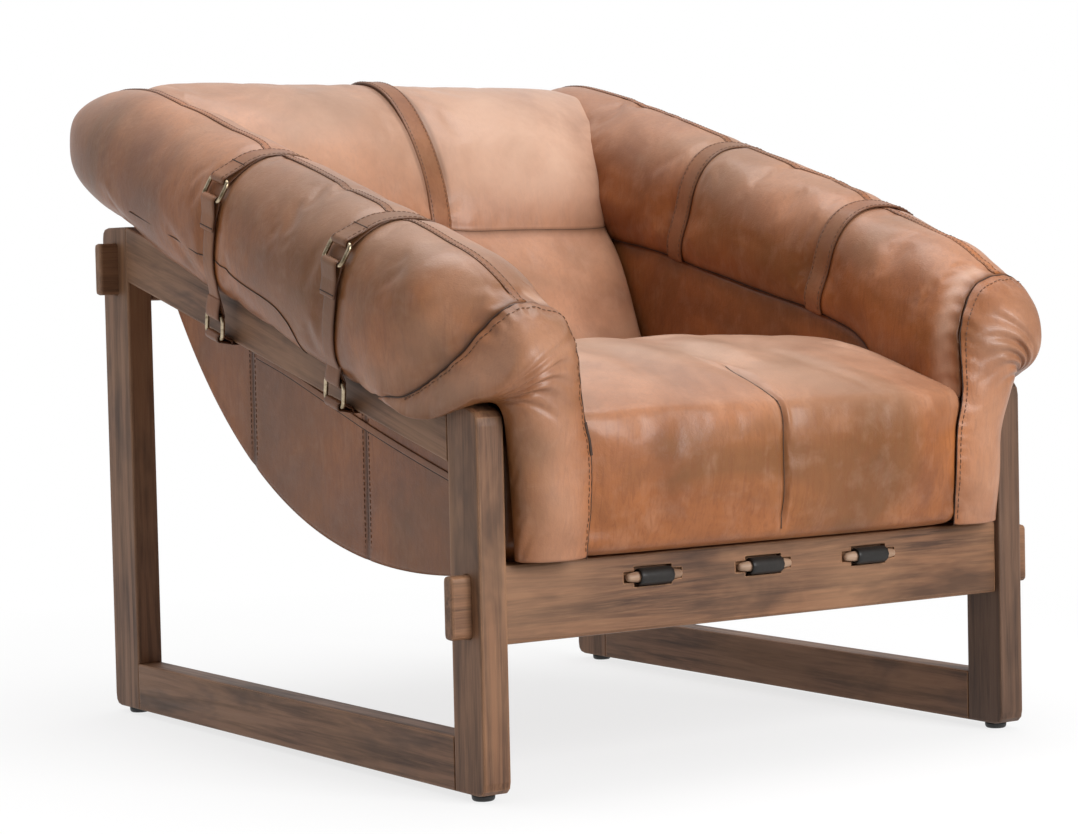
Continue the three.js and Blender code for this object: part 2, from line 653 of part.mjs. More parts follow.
// Back cushion: one profile carried across, with a drawn-in tuft line and a channel under the strap
const backHalf = (z) => {
  const rise = THREE.MathUtils.smoothstep(z, railTop(rearPostFront) - BACK_WIDENS_BELOW, backTop);
  return THREE.MathUtils.lerp(armInner - SOFT_GAP, BACK_TOP_WIDTH / 2, rise);
};
const backTuft = new THREE.Vector2(FRAME_DEPTH - BACK_TUFT_SET_IN, rearRailTop - BACK_TUFT_DROP);
const backCrest = new THREE.Vector2(FRAME_DEPTH - BACK_CREST_SET_IN, backTop);
const backFace = steps(backTuft, BACK_FACE_FROM_TUFT);
const backRoll = steps(backCrest, BACK_ROLL_FROM_CREST);
const overRearRail = new THREE.Vector3(0, rearRailFront, rearRailTop);
const backPoints = [...backFace, ...backRoll, overRearRail, ...BACK_UNDER_SHARES.map(underCushion)];
const backProfile = outline(backPoints);
const backCentre = middleOf(backPoints);

function backPoint(u, q, grow) {
  const edge = backProfile.getPoint(u);
  const outward = edge.clone().sub(backCentre).normalize();
  const facing = edge.y < backCrest.x ? 1 : 0;
  const tuft = BACK_TUFT_DEPTH * Math.exp(-(((edge.z - backTuft.y) / BACK_TUFT_SPREAD) ** 2)) * facing;
  const channel = BACK_STRAP_CHANNEL * Math.exp(-((q / BACK_CHANNEL_SPREAD) ** 2));
  edge.addScaledVector(outward, grow - tuft - channel);
  return edge;
}

function backCushion(grow) {
  const point = (u, v) => {
    const q = Math.cos(Math.PI * v);
    const at = backCentre.clone().lerp(backPoint(u, q, grow), endSize(q, BACK_BLUNTNESS));
    at.x = (backHalf(at.z) + grow) * q;
    return at;
  };
  return loft(point, CUSHION_ROUND_STEPS, BACK_ACROSS_STEPS);
}

arms.updateMatrix();
const padSpace = box(
  armInner - SOFT_GAP, FRAME_WIDTH, -FRAME_DEPTH, 2 * FRAME_DEPTH, -FRAME_DEPTH, FIT + SOFT_GAP,
);
const rightArmSpaces = [bolsterForm(2 * SOFT_GAP), padSpace].map((space) => space.applyMatrix4(arms.matrix));
const armSpaces = [...rightArmSpaces, ...rightArmSpaces.map(mirrored)];
put(chair, 'back_cushion', cut(backCushion(0), spaceUnderSling(SOFT_GAP), ...armSpaces), 'leather');

// Seat cushion: crowned, with a bulging front, a sewn centre seam and its rear end cut round the back
const seatHalf = armInner - 2 * SOFT_GAP;
const seatPoints = [
  ...steps(new THREE.Vector2(-SEAT_NOSE, SEAT_NOSE_HEIGHT), SEAT_FACE_FROM_NOSE),
  ...steps(new THREE.Vector2(SEAT_CREST_BACK, SEAT_CREST), SEAT_TOP_FROM_CREST),
  ...steps(new THREE.Vector2(FRAME_DEPTH - SEAT_TAIL_CLEAR, SEAT_TAIL_HEIGHT), SEAT_END_FROM_TAIL),
  ...SEAT_UNDER_SHARES.map(underCushion),
];
const seatProfile = outline(seatPoints);
const seatCentre = middleOf(seatPoints);

function seatCushion() {
  const point = (u, v) => {
    const q = Math.cos(Math.PI * v);
    const edge = seatProfile.getPoint(u);
    const above = Math.max(0, (edge.z - seatCentre.z) / (SEAT_CREST - seatCentre.z));
    const seam = SEAT_SEAM_DEPTH * Math.exp(-((q / SEAT_SEAM_SPREAD) ** 2));
    edge.z -= above * (SEAT_CROWN * q * q + seam);
    if (edge.y < SEAT_CREST_BACK / 2) edge.y += seam;
    const at = seatCentre.clone().lerp(edge, endSize(q, SEAT_BLUNTNESS));
    at.x = seatHalf * q;
    return at;
  };
  const body = loft(point, CUSHION_ROUND_STEPS, SEAT_ACROSS_STEPS);
  return cut(body, spaceUnderSling(SOFT_GAP), backCushion(2 * SOFT_GAP));
}

put(chair, 'seat_cushion', seatCushion(), 'leather');

// Sewn strap down the middle of the back, from the tuft over the top and down behind
function backStrap() {
  const onBack = (u) => {
    const at = backPoint(u, 0, 0);
    return new THREE.Vector2(at.y, at.z);
  };
  const start = (backFace.length - 2) / backPoints.length + 0.01;
  const end = (backFace.length + backRoll.length - 1) / backPoints.length;
  const route = new THREE.SplineCurve(
    Array.from({ length: 12 }, (_, i) => onBack(THREE.MathUtils.lerp(start, end, i / 11))),
  );
  const half = BACK_STRAP_WIDTH / 2;
  const strap = sideBoard(ribbonShape(route, 0, BACK_STRAP_CHANNEL + SOFT_GAP, 24), -half, half, 0, 1);
  return cut(strap, backCushion(FIT), spaceUnderSling(SOFT_GAP));
}

put(chair, 'back_strap', backStrap(), 'strapLeather');

// Buckled arm straps, drawn in the section of the arm (outboard, up) and carried along the rail.
// An upper strap is looped round a ring, a lower strap hangs from the ring to a second ring at the
// rail's lower edge, and a tab ties that ring to the tub under the rail.
const loopInner = RING_WIRE / 2 + LOOP_GAP;
const loopOuter = loopInner + LOOP_WALL;

function acrossRail(shape, width, curveSegments) {
  const options = { depth: width, steps: 1, curveSegments, bevelEnabled: false };
  const geometry = new THREE.ExtrudeGeometry(shape, options);
  return geometry.rotateX(Math.PI / 2).translate(0, width / 2, 0);
}

function loopAround(bar) {
  const shape = new THREE.Shape().absarc(bar.x, bar.y, loopOuter, 0, 2 * Math.PI);
  shape.holes.push(new THREE.Path().absarc(bar.x, bar.y, loopInner, 0, 2 * Math.PI, true));
  return acrossRail(shape, ARM_STRAP_WIDTH, 6);
}

function band(points, low, high, steps) {
  return acrossRail(ribbonShape(new THREE.SplineCurve(points), low, high, steps), ARM_STRAP_WIDTH, 1);
}

// Point on the wall of a loop, in the direction of another point
function wallToward(bar, other) {
  return other.clone().sub(bar).setLength((loopInner + loopOuter) / 2).add(bar);
}

function ring(upperBar, lowerBar) {
  const half = ARM_STRAP_WIDTH / 2 + RING_SIDE_GAP;
  const wire = RING_WIRE / 2;
  const length = upperBar.distanceTo(lowerBar) / 2;
  const shape = rectangle(-half - RING_WIRE, half + RING_WIRE, -length - wire, length + wire, RING_CORNER);
  shape.holes.push(rectangle(-half, half, wire - length, length - wire, RING_CORNER / 3));
  const geometry = new THREE.ExtrudeGeometry(shape, {
    depth: RING_WIRE - 2 * RING_EASED,
    steps: 1,
    curveSegments: 3,
    bevelThickness: RING_EASED,
    bevelSize: RING_EASED,
    bevelOffset: -RING_EASED,
    bevelSegments: 1,
  });
  geometry.translate(0, 0, RING_EASED - wire);
  const rise = upperBar.clone().sub(lowerBar).normalize();
  const along = new THREE.Vector3(0, 1, 0);
  const up = new THREE.Vector3(rise.x, 0, rise.y);
  const middle = upperBar.clone().add(lowerBar).divideScalar(2);
  const place = new THREE.Matrix4().makeBasis(along, up, along.clone().cross(up));
  return geometry.applyMatrix4(place.setPosition(middle.x, 0, middle.y));
}

const spread = (from, to, count) => Array.from({ length: count }, (_, i) => (
  THREE.MathUtils.lerp(from, to, i / (count - 1))
));

for (const [end, s] of Object.entries(ARM_STRAP_PLACES)) {
  const clear = FIT + (bolsterTaper * ARM_STRAP_WIDTH) / 2 + SOFT_GAP / 2;
  const onArm = (degrees, grow) => bolsterSection(s, THREE.MathUtils.degToRad(degrees), grow);
  const barClear = loopOuter + clear;
  const upperBar = onArm(RING_TOP_ANGLE, barClear);
  const lowerBar = onArm(RING_LOW_ANGLE, barClear).sub(upperBar).setLength(RING_LENGTH).add(upperBar);
  const bandClear = clear + ARM_STRAP_THICK / 2;
  const half = ARM_STRAP_THICK / 2;
  const thirdBar = new THREE.Vector2(halfFrame + LOWER_RING_OUT, -LOWER_RING_DROP);
  const fourthBar = thirdBar.clone().add(new THREE.Vector2(-LOWER_RING_LEAN, -RING_LENGTH));
  const over = spread(ARM_STRAP_START_ANGLE, RING_TOP_ANGLE + ARM_STRAP_LIFT_ANGLE, 11).map((angle) => (
    onArm(angle, bandClear)
  ));
  const upper = join(
    band([...over, wallToward(upperBar, over.at(-1))], -half, half, 20), loopAround(upperBar),
  );
  const down = spread(LOWER_STRAP_FIRST_ANGLE, LOWER_STRAP_LAST_ANGLE, 3).map((angle) => (
    onArm(RING_LOW_ANGLE - angle, bandClear + LOOP_WALL)
  ));
  const lower = join(
    band([wallToward(lowerBar, down[0]), ...down, wallToward(thirdBar, down.at(-1))], -half, half, 12),
    loopAround(lowerBar), loopAround(thirdBar),
  );
  const underRail = -RAIL_HEIGHT - half - 2 * SOFT_GAP;
  const tabTurn = new THREE.Vector2(halfFrame - BOARD / 4, underRail - TAB_DROP);
  const tabEnd = new THREE.Vector2(innerFace - 2 * FIT, underRail - 3 * TAB_DROP);
  const tab = join(
    band([wallToward(fourthBar, tabTurn), tabTurn, tabEnd], -half, half, 5), loopAround(fourthBar),
  );
  const pieces = {
    upper_strap: [upper, 'strapLeather'],
    upper_ring: [ring(upperBar, lowerBar), 'nickel'],
    lower_strap: [lower, 'strapLeather'],
    lower_ring: [ring(thirdBar, fourthBar), 'nickel'],
    strap_tab: [tab, 'strapLeather'],
  };
  for (const [name, [geometry, finish]] of Object.entries(pieces)) {
    putPair(arms, `${end}_${name}`, geometry.translate(0, s, 0), finish);
  }
}

// The origin is on the floor under the middle of the whole chair
chair.updateMatrixWorld(true);
const middle = new THREE.Box3().setFromObject(chair, true).getCenter(new THREE.Vector3());
chair.position.set(-middle.x, -middle.y, 0);

export default chair;
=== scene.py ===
import math

import bmesh
import bpy
import numpy as np
from mathutils import Matrix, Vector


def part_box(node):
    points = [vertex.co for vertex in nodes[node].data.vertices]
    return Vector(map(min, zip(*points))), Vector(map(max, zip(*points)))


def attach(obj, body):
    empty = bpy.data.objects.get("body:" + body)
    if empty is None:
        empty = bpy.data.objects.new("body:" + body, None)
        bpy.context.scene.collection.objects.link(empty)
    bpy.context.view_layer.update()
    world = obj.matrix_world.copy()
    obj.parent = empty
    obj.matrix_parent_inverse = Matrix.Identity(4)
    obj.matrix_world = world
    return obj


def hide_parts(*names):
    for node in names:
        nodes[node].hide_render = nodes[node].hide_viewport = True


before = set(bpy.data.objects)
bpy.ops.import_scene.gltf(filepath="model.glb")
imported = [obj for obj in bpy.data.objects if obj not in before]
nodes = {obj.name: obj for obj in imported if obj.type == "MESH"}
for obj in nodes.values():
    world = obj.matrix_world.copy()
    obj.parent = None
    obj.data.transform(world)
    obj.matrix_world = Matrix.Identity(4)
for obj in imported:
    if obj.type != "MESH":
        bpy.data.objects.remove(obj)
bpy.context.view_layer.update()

scene = bpy.context.scene
scene.view_settings.view_transform = "Standard"
CHAIR = "chair"
SIDES = {"right": 1, "left": -1}

# Camera at the photograph's angle, placed from the front posts' face
FRONT_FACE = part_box("right_front_post")[0].y
CAMERA_PLACE = (-1.9017, FRONT_FACE - 2.4193, 0.5344)
CAMERA_AZIMUTH = math.radians(-33.74)
CAMERA_ELEVATION = math.radians(3.0)
CAMERA_ROLL = math.radians(-1.28)
CAMERA_SENSOR = 36.0
CAMERA_LENS = 97.7


def stand(thing, right, up, back, place):
    """Sets a thing's place and the way its axes point."""
    matrix = np.eye(4)
    matrix[:3, :4] = np.stack([right, up, back, place], axis=1)
    thing.matrix_world = Matrix(matrix.tolist())


def make_camera():
    """The axes come from the azimuth and elevation, then turn by the roll about the line of sight."""
    azimuth, elevation = CAMERA_AZIMUTH, CAMERA_ELEVATION
    back = np.array([
        math.sin(azimuth) * math.cos(elevation),
        -math.cos(azimuth) * math.cos(elevation),
        math.sin(elevation),
    ])
    right = np.array([math.cos(azimuth), math.sin(azimuth), 0])
    up = np.cross(back, right)
    turned_right = math.cos(CAMERA_ROLL) * right + math.sin(CAMERA_ROLL) * up
    turned_up = math.cos(CAMERA_ROLL) * up - math.sin(CAMERA_ROLL) * right
    data = bpy.data.cameras.new("camera")
    data.sensor_width = CAMERA_SENSOR
    data.lens = CAMERA_LENS
    camera = bpy.data.objects.new("camera", data)
    scene.collection.objects.link(camera)
    stand(camera, turned_right, turned_up, back, CAMERA_PLACE)
    scene.camera = camera


make_camera()

# Sizes shared with the solids: depth counts from the front posts' face, height from the floor
ARM_SLOPE = math.radians(14.5)
ARM_SIN = math.sin(ARM_SLOPE)
ARM_COS = math.cos(ARM_SLOPE)
ARM_FRONT_HEIGHT = 0.390
ALONG_RAIL = np.array([0, ARM_COS, ARM_SIN])
OFF_RAIL = np.array([0, -ARM_SIN, ARM_COS])
ACROSS = np.array([1.0, 0, 0])
POST_OUTER = 0.360


def together(x, y, z):
    """Points from their three coordinates, each given for all points or for some."""
    return np.stack(np.broadcast_arrays(x, y, z), axis=-1).astype(float)


def unit(vectors):
    """Vectors brought to length 1."""
    return vectors / np.linalg.norm(vectors, axis=-1, keepdims=True)


def on_arm(x, s, n):
    """A point by its place across, its place along the sloping rail and its distance square off the rail."""
    return together(x, s * ARM_COS - n * ARM_SIN, ARM_FRONT_HEIGHT + s * ARM_SIN + n * ARM_COS)


def arm_place(points):
    """The reverse of on_arm: place across, along the rail and square off it."""
    y, z = points[..., 1], points[..., 2] - ARM_FRONT_HEIGHT
    return points[..., 0], y * ARM_COS + z * ARM_SIN, z * ARM_COS - y * ARM_SIN


def way_along(line):
    """How far along a line each of its points lies."""
    return np.concatenate([[0], np.cumsum(np.linalg.norm(np.diff(line, axis=0), axis=1))])


def read_at(places, way, table):
    """A table's columns, read at places between its rows."""
    return np.stack([np.interp(places, way, column) for column in table.T], axis=-1)


def even(line, count):
    """The same line, given by points an even way apart."""
    way = way_along(line)
    return read_at(np.linspace(0, way[-1], count), way, line)


def cubic(t, start, near, far, end):
    """A cubic from start to end, drawn toward two points between them."""
    return (1 - t) ** 3 * start + 3 * t * (1 - t) ** 2 * near + 3 * t * t * (1 - t) * far + t ** 3 * end


def knotted(points, count, closed=False):
    """A smooth line through the points: a cubic on each stretch, with slopes taken from the neighbours."""
    p = np.asarray(points, float)
    first, last = 0, len(p) - 1
    if closed:
        p = np.vstack([p[-3:], p, p[:4]])
        first, last = 3, len(p) - 4
    gap = np.sqrt(np.linalg.norm(np.diff(p, axis=0), axis=1))
    knots = np.concatenate([[0], np.cumsum(gap)])
    slope = np.gradient(p, knots, axis=0)
    fine = np.linspace(knots[first], knots[last], count)
    k = np.clip(np.searchsorted(knots, fine, side="right") - 1, 0, len(knots) - 2)
    step = (knots[k + 1] - knots[k])[:, None]
    u = (fine - knots[k])[:, None] / step
    near = (2 * u ** 3 - 3 * u ** 2 + 1) * p[k] + (u ** 3 - 2 * u ** 2 + u) * step * slope[k]
    far = (3 * u ** 2 - 2 * u ** 3) * p[k + 1] + (u ** 3 - u ** 2) * step * slope[k + 1]
    return near + far


# Points on a smooth line before it is spaced out evenly
FINE = 1600


def curve(points, count, closed=False):
    """A smooth line through the points, given by points an even way apart."""
    line = even(knotted(points, FINE, closed), count + 1 if closed else count)
    return line[:-1] if closed else line


def smooth(value, low, high):
    """Runs from 0 at low to 1 at high with level ends."""
    share = np.clip((value - low) / (high - low), 0, 1)
    return share * share * (3 - 2 * share)


def bell(value, centre, spread):
    """A bell of height 1."""
    return np.exp(-((value - centre) / spread) ** 2)


def power(value, squareness):
    """A cosine or sine raised so that the circle it draws becomes a rounded square."""
    return np.sign(value) * np.abs(value) ** (2 / squareness)


def ripple(points, length, seed):
    """Soft waves in space: twelve sine waves in seeded directions, about one length from crest to crest."""
    random = np.random.default_rng(seed)
    way = random.normal(size=(12, 3))
    way /= np.linalg.norm(way, axis=1, keepdims=True)
    way *= (2 * math.pi / length) * random.uniform(0.6, 1.5, (12, 1))
    turn = random.uniform(0, 2 * math.pi, 12)
    return np.sin(points @ way.T + turn).sum(axis=-1) / 4


def grid_quads(rows, columns, wrap):
    """The four corners of each cell of a grid; wrap joins the last column to the first."""
    r = np.arange(rows - 1)[:, None] * columns
    c = np.arange(columns if wrap else columns - 1)[None, :]
    d = (c + 1) % columns
    return np.stack([r + c, r + d, r + columns + d, r + columns + c], axis=-1).reshape(-1, 4)


def outward(grid, wrap=True):
    """Unit vectors square to a grid of points, as the cross product of its two directions."""
    down = np.gradient(grid, axis=0)
    if wrap:
        across = (np.roll(grid, -1, axis=1) - np.roll(grid, 1, axis=1)) / 2
    else:
        across = np.gradient(grid, axis=1)
    square = np.cross(across, down)
    return square / np.maximum(np.linalg.norm(square, axis=-1, keepdims=True), 1e-9)


def make_piece(name, points, faces, finish, slot, body=CHAIR, replaced=(), shares=None):
    """A mesh from points and faces, in the row frame, with its faces turned outward and its shares stored."""
    mesh = bpy.data.meshes.new(name)
    mesh.from_pydata((points + [0, FRONT_FACE, 0]).tolist(), [], [list(face) for face in faces])
    shape = bmesh.new()
    shape.from_mesh(mesh)
    bmesh.ops.recalc_face_normals(shape, faces=shape.faces)
    shape.to_mesh(mesh)
    shape.free()
    mesh.polygons.foreach_set("use_smooth", np.ones(len(mesh.polygons), bool))
    for key, values in (shares or {}).items():
        store = mesh.attributes.new(key, "FLOAT", "POINT")
        store.data.foreach_set("value", np.asarray(values, np.float32).ravel())
    mesh.materials.append(finish)
    piece = bpy.data.objects.new(name, mesh)
    scene.collection.objects.link(piece)
    if replaced:
        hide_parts(*replaced)
    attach(piece, body)
    return piece


def tube(name, rings, finish, slot, shares=None, **rest):
    """A closed skin over rings of points; each end is a fan to the middle of its ring."""
    rows, columns = rings.shape[:2]
    points = np.vstack([rings.reshape(-1, 3), rings[0].mean(axis=0), rings[-1].mean(axis=0)])
    faces = grid_quads(rows, columns, True).tolist()
    c = np.arange(columns)
    d = (c + 1) % columns
    middle = rows * columns
    faces += np.stack([np.full(columns, middle), d, c], axis=-1).tolist()
    last = middle - columns
    faces += np.stack([np.full(columns, middle + 1), last + c, last + d], axis=-1).tolist()
    full = {
        key: np.concatenate([np.ravel(v), [np.mean(v[0]), np.mean(v[-1])]])
        for key, v in (shares or {}).items()
    }
    return make_piece(name, points, faces, finish, slot, shares=full, **rest)


def slab(name, top, bottom, finish, slot, shares=None, **rest):
    """A closed sheet: two grids of points, joined all round their edges."""
    rows, columns = top.shape[:2]
    size = rows * columns
    upper = grid_quads(rows, columns, False)
    edge = np.concatenate([
        np.arange(columns),
        columns * np.arange(1, rows) + columns - 1,
        size - 2 - np.arange(columns - 1),
        columns * np.arange(rows - 2, 0, -1),
    ])
    ahead = np.roll(edge, -1)
    sides = np.stack([edge, edge + size, ahead + size, ahead], axis=-1)
    faces = np.vstack([upper, upper[:, ::-1] + size, sides]).tolist()
    full = {key: np.concatenate([np.ravel(v), np.ravel(v)]) for key, v in (shares or {}).items()}
    points = np.vstack([top.reshape(-1, 3), bottom.reshape(-1, 3)])
    return make_piece(name, points, faces, finish, slot, shares=full, **rest)


def ribbon(name, path, across, width, thick, finish, slot, **rest):
    """A strap: a flat profile with eased edges carried along a path, its width always along one axis."""
    w = np.sin(np.linspace(-math.pi / 2, math.pi / 2, 13))
    square = unit(np.cross(across, np.gradient(path, axis=0)))
    half = thick / 2 * (0.25 + 0.75 * (1 - np.abs(w) ** 8) ** 0.5)
    base = path[:, None] + (w * np.reshape(width, (-1, 1)) / 2)[..., None] * across
    lift = half[None, :, None] * square[:, None]
    edge = np.broadcast_to(np.abs(w) ** 10, base.shape[:2])
    return slab(name, base + lift, base - lift, finish, slot, shares={"seam": edge}, **rest)


def turned(name, centre, axis, profile, sides, finish, slot, **rest):
    """A turned piece: a profile of (place along the axis, radius) carried round the axis."""
    axis = np.asarray(axis, float)
    first = unit(np.cross(axis, [0.3, 0.5, 0.8]))
    second = np.cross(axis, first)
    angle = np.linspace(0, 2 * math.pi, sides, endpoint=False)
    spoke = np.cos(angle)[:, None] * first + np.sin(angle)[:, None] * second
    rings = np.asarray(centre) + profile[:, None, :1] * axis + profile[:, None, 1:] * spoke
    return tube(name, rings, finish, slot, **rest)


# Stitches and sewn seams are small six-sided tubes
STITCH_PITCH = 0.0062
STITCH_LENGTH = 0.0045
STITCH_RADIUS = 0.00045
CORD_SIDES = 6
cord_angle = np.arange(CORD_SIDES)[:, None, None] * math.pi / 3


def stitch_row(line, square, length=STITCH_LENGTH):
    """Points of many stitches along a line: each is a six-sided capsule, half sunk in the leather."""
    way = way_along(line)
    places = np.arange(STITCH_PITCH / 2, way[-1] - STITCH_PITCH / 4, STITCH_PITCH)
    centre = read_at(places, way, line)
    along = read_at(places, way, unit(np.gradient(line, axis=0)))
    up = unit(read_at(places, way, square))
    side = np.cross(up, along)
    ring_place = np.array([-0.5, -0.3, 0.3, 0.5])[:, None, None, None] * length
    ring_size = np.array([0.35, 1.0, 1.0, 0.35])[:, None, None, None] * STITCH_RADIUS
    spoke = np.cos(cord_angle) * side + np.sin(cord_angle) * up
    sink = np.array([-0.35, 0.15, 0.15, -0.35])[:, None, None, None] * STITCH_RADIUS * up
    return np.moveaxis(centre + ring_place * along + ring_size * spoke + sink, 2, 0)


def many_tubes(name, rings, finish, slot):
    """One piece of many tubes of six-sided rings, each skinned and closed at both ends."""
    count, rows = rings.shape[:2]
    shift = np.arange(count)[:, None, None] * rows * CORD_SIDES
    faces = (shift + grid_quads(rows, CORD_SIDES, True)).reshape(-1, 4).tolist()
    ends = np.array([np.arange(CORD_SIDES)[::-1], (rows - 1) * CORD_SIDES + np.arange(CORD_SIDES)])
    faces += (shift + ends).reshape(-1, CORD_SIDES).tolist()
    return make_piece(name, rings.reshape(-1, 3), faces, finish, slot)


def stitching(name, rows, slot):
    """One piece of many stitches."""
    return many_tubes(name, np.concatenate(rows), thread, slot)


def seam_cords(name, lines, radius, slot):
    """One piece of many sewn seams: a six-sided ring carried along each line."""
    paths = np.stack([even(line, 160) for line in lines])
    way = unit(np.gradient(paths, axis=1))
    first = unit(np.cross(way, [0.31, 0.52, 0.79]))
    second = np.cross(way, first)
    spoke = np.cos(cord_angle[..., 0]) * first[:, :, None] + np.sin(cord_angle[..., 0]) * second[:, :, None]
    return many_tubes(name, paths[:, :, None] + radius * spoke, seam_dark, slot)


def refine(piece):
    """One smooth subdivision, the same in view and render."""
    smoothing = piece.modifiers.new("smoothing", "SUBSURF")
    smoothing.levels = 1
    smoothing.render_levels = 1


# Cloth settings
PUFF_PRESSURE = 4.0
PUFF_SLACK = 0.004
PUFF_FRAMES = 20
PUFF_CAP = 0.006


def puff(piece, grid, held, cap=PUFF_CAP):
    """Cloth under air pressure, held at its seams: the skin swells by the cap at most. Gives the new grid."""
    mesh = piece.data
    count = len(mesh.vertices)
    before = np.empty(count * 3, np.float32)
    mesh.vertices.foreach_get("co", before)
    group = piece.vertex_groups.new(name="held")
    weights = np.zeros(count)
    weights[:np.size(held)] = np.ravel(held)
    weights[np.size(held):] = 1.0
    levels = np.round(weights, 1)
    for level in np.unique(levels[levels > 0]):
        group.add(np.flatnonzero(levels == level).tolist(), float(level), "REPLACE")
    cloth = piece.modifiers.new("cloth", "CLOTH")
    settings = cloth.settings
    settings.quality = 5
    settings.mass = 0.4
    settings.tension_stiffness = 20
    settings.compression_stiffness = 20
    settings.shear_stiffness = 8
    settings.bending_stiffness = 2.0
    settings.use_pressure = True
    settings.uniform_pressure_force = PUFF_PRESSURE
    settings.shrink_min = -PUFF_SLACK
    settings.shrink_max = -PUFF_SLACK
    settings.vertex_group_mass = group.name
    settings.effector_weights.gravity = 0
    cloth.collision_settings.use_collision = False
    cloth.point_cache.frame_start = 1
    cloth.point_cache.frame_end = PUFF_FRAMES
    for step in range(1, PUFF_FRAMES + 1):
        scene.frame_set(step)
    live = piece.evaluated_get(bpy.context.evaluated_depsgraph_get()).data
    after = np.empty(count * 3, np.float32)
    live.vertices.foreach_get("co", after)
    move = (after - before).reshape(-1, 3)
    size = np.linalg.norm(move, axis=1, keepdims=True)
    move *= np.minimum(1, cap / np.maximum(size, 1e-9))
    piece.modifiers.remove(cloth)
    piece.vertex_groups.remove(group)
    final = before.reshape(-1, 3) + move
    mesh.vertices.foreach_set("co", final.ravel())
    mesh.update()
    scene.frame_set(1)
    return final[:grid.shape[0] * grid.shape[1]].reshape(grid.shape).astype(float) - [0, FRONT_FACE, 0]


# Materials
def shader(name):
    """A new material with its node tree emptied to one shader and its output."""
    material = bpy.data.materials.new(name)
    material.use_nodes = True
    tree = material.node_tree
    tree.nodes.clear()
    output = tree.nodes.new("ShaderNodeOutputMaterial")
    surface = tree.nodes.new("ShaderNodeBsdfPrincipled")
    tree.links.new(surface.outputs["BSDF"], output.inputs["Surface"])
    return material, tree, surface


def node(tree, kind, inputs=None, **settings):
    """A node with its settings made and its inputs set or linked."""
    made = tree.nodes.new(kind)
    for key, value in settings.items():
        setattr(made, key, value)
    for key, value in (inputs or {}).items():
        if isinstance(value, bpy.types.NodeSocket):
            tree.links.new(value, made.inputs[key])
        else:
            made.inputs[key].default_value = value
    return made


def object_place(tree, scale=(1, 1, 1), turn=(0, 0, 0)):
    """Object coordinates, first turned and then scaled."""
    place = node(tree, "ShaderNodeTexCoord").outputs["Object"]
    turned_place = node(tree, "ShaderNodeMapping", {"Vector": place, "Rotation": turn}).outputs["Vector"]
    return node(tree, "ShaderNodeMapping", {"Vector": turned_place, "Scale": scale}).outputs["Vector"]


def noise(tree, place, scale, detail=4.0, roughness=0.55, distortion=0.0):
    """Noise at so many lumps to the metre."""
    return node(tree, "ShaderNodeTexNoise", {
        "Vector": place, "Scale": scale, "Detail": detail, "Roughness": roughness, "Distortion": distortion,
    }).outputs["Fac"]


def spread(tree, value, low, high, to_low=0.0, to_high=1.0):
    """A value between two limits, stretched to two others and held there."""
    return node(tree, "ShaderNodeMapRange", {
        "Value": value, "From Min": low, "From Max": high, "To Min": to_low, "To Max": to_high,
    }).outputs["Result"]


def blend(tree, share, first, second):
    """Two colours mixed by a share."""
    made = node(tree, "ShaderNodeMix", data_type="RGBA")
    for key, value in ((0, share), (6, first), (7, second)):
        if isinstance(value, bpy.types.NodeSocket):
            tree.links.new(value, made.inputs[key])
        elif key:
            made.inputs[key].default_value = (*value, 1)
        else:
            made.inputs[key].default_value = value
    return made.outputs[2]


def maths(tree, way, first, second=0.0):
    """One sum of two values."""
    return node(tree, "ShaderNodeMath", {0: first, 1: second}, operation=way).outputs[0]


def raised(tree, height, strength, distance, under=None):
    """Bump from a height, on top of another bump."""
    inputs = {"Height": height, "Strength": strength, "Distance": distance}
    if under is not None:
        inputs["Normal"] = under
    return node(tree, "ShaderNodeBump", inputs).outputs["Normal"]


def dress(tree, surface, colour, roughness, bump):
    """Links a colour, a roughness and a bump to a shader."""
    for key, value in (("Base Color", colour), ("Roughness", roughness), ("Normal", bump)):
        tree.links.new(value, surface.inputs[key])


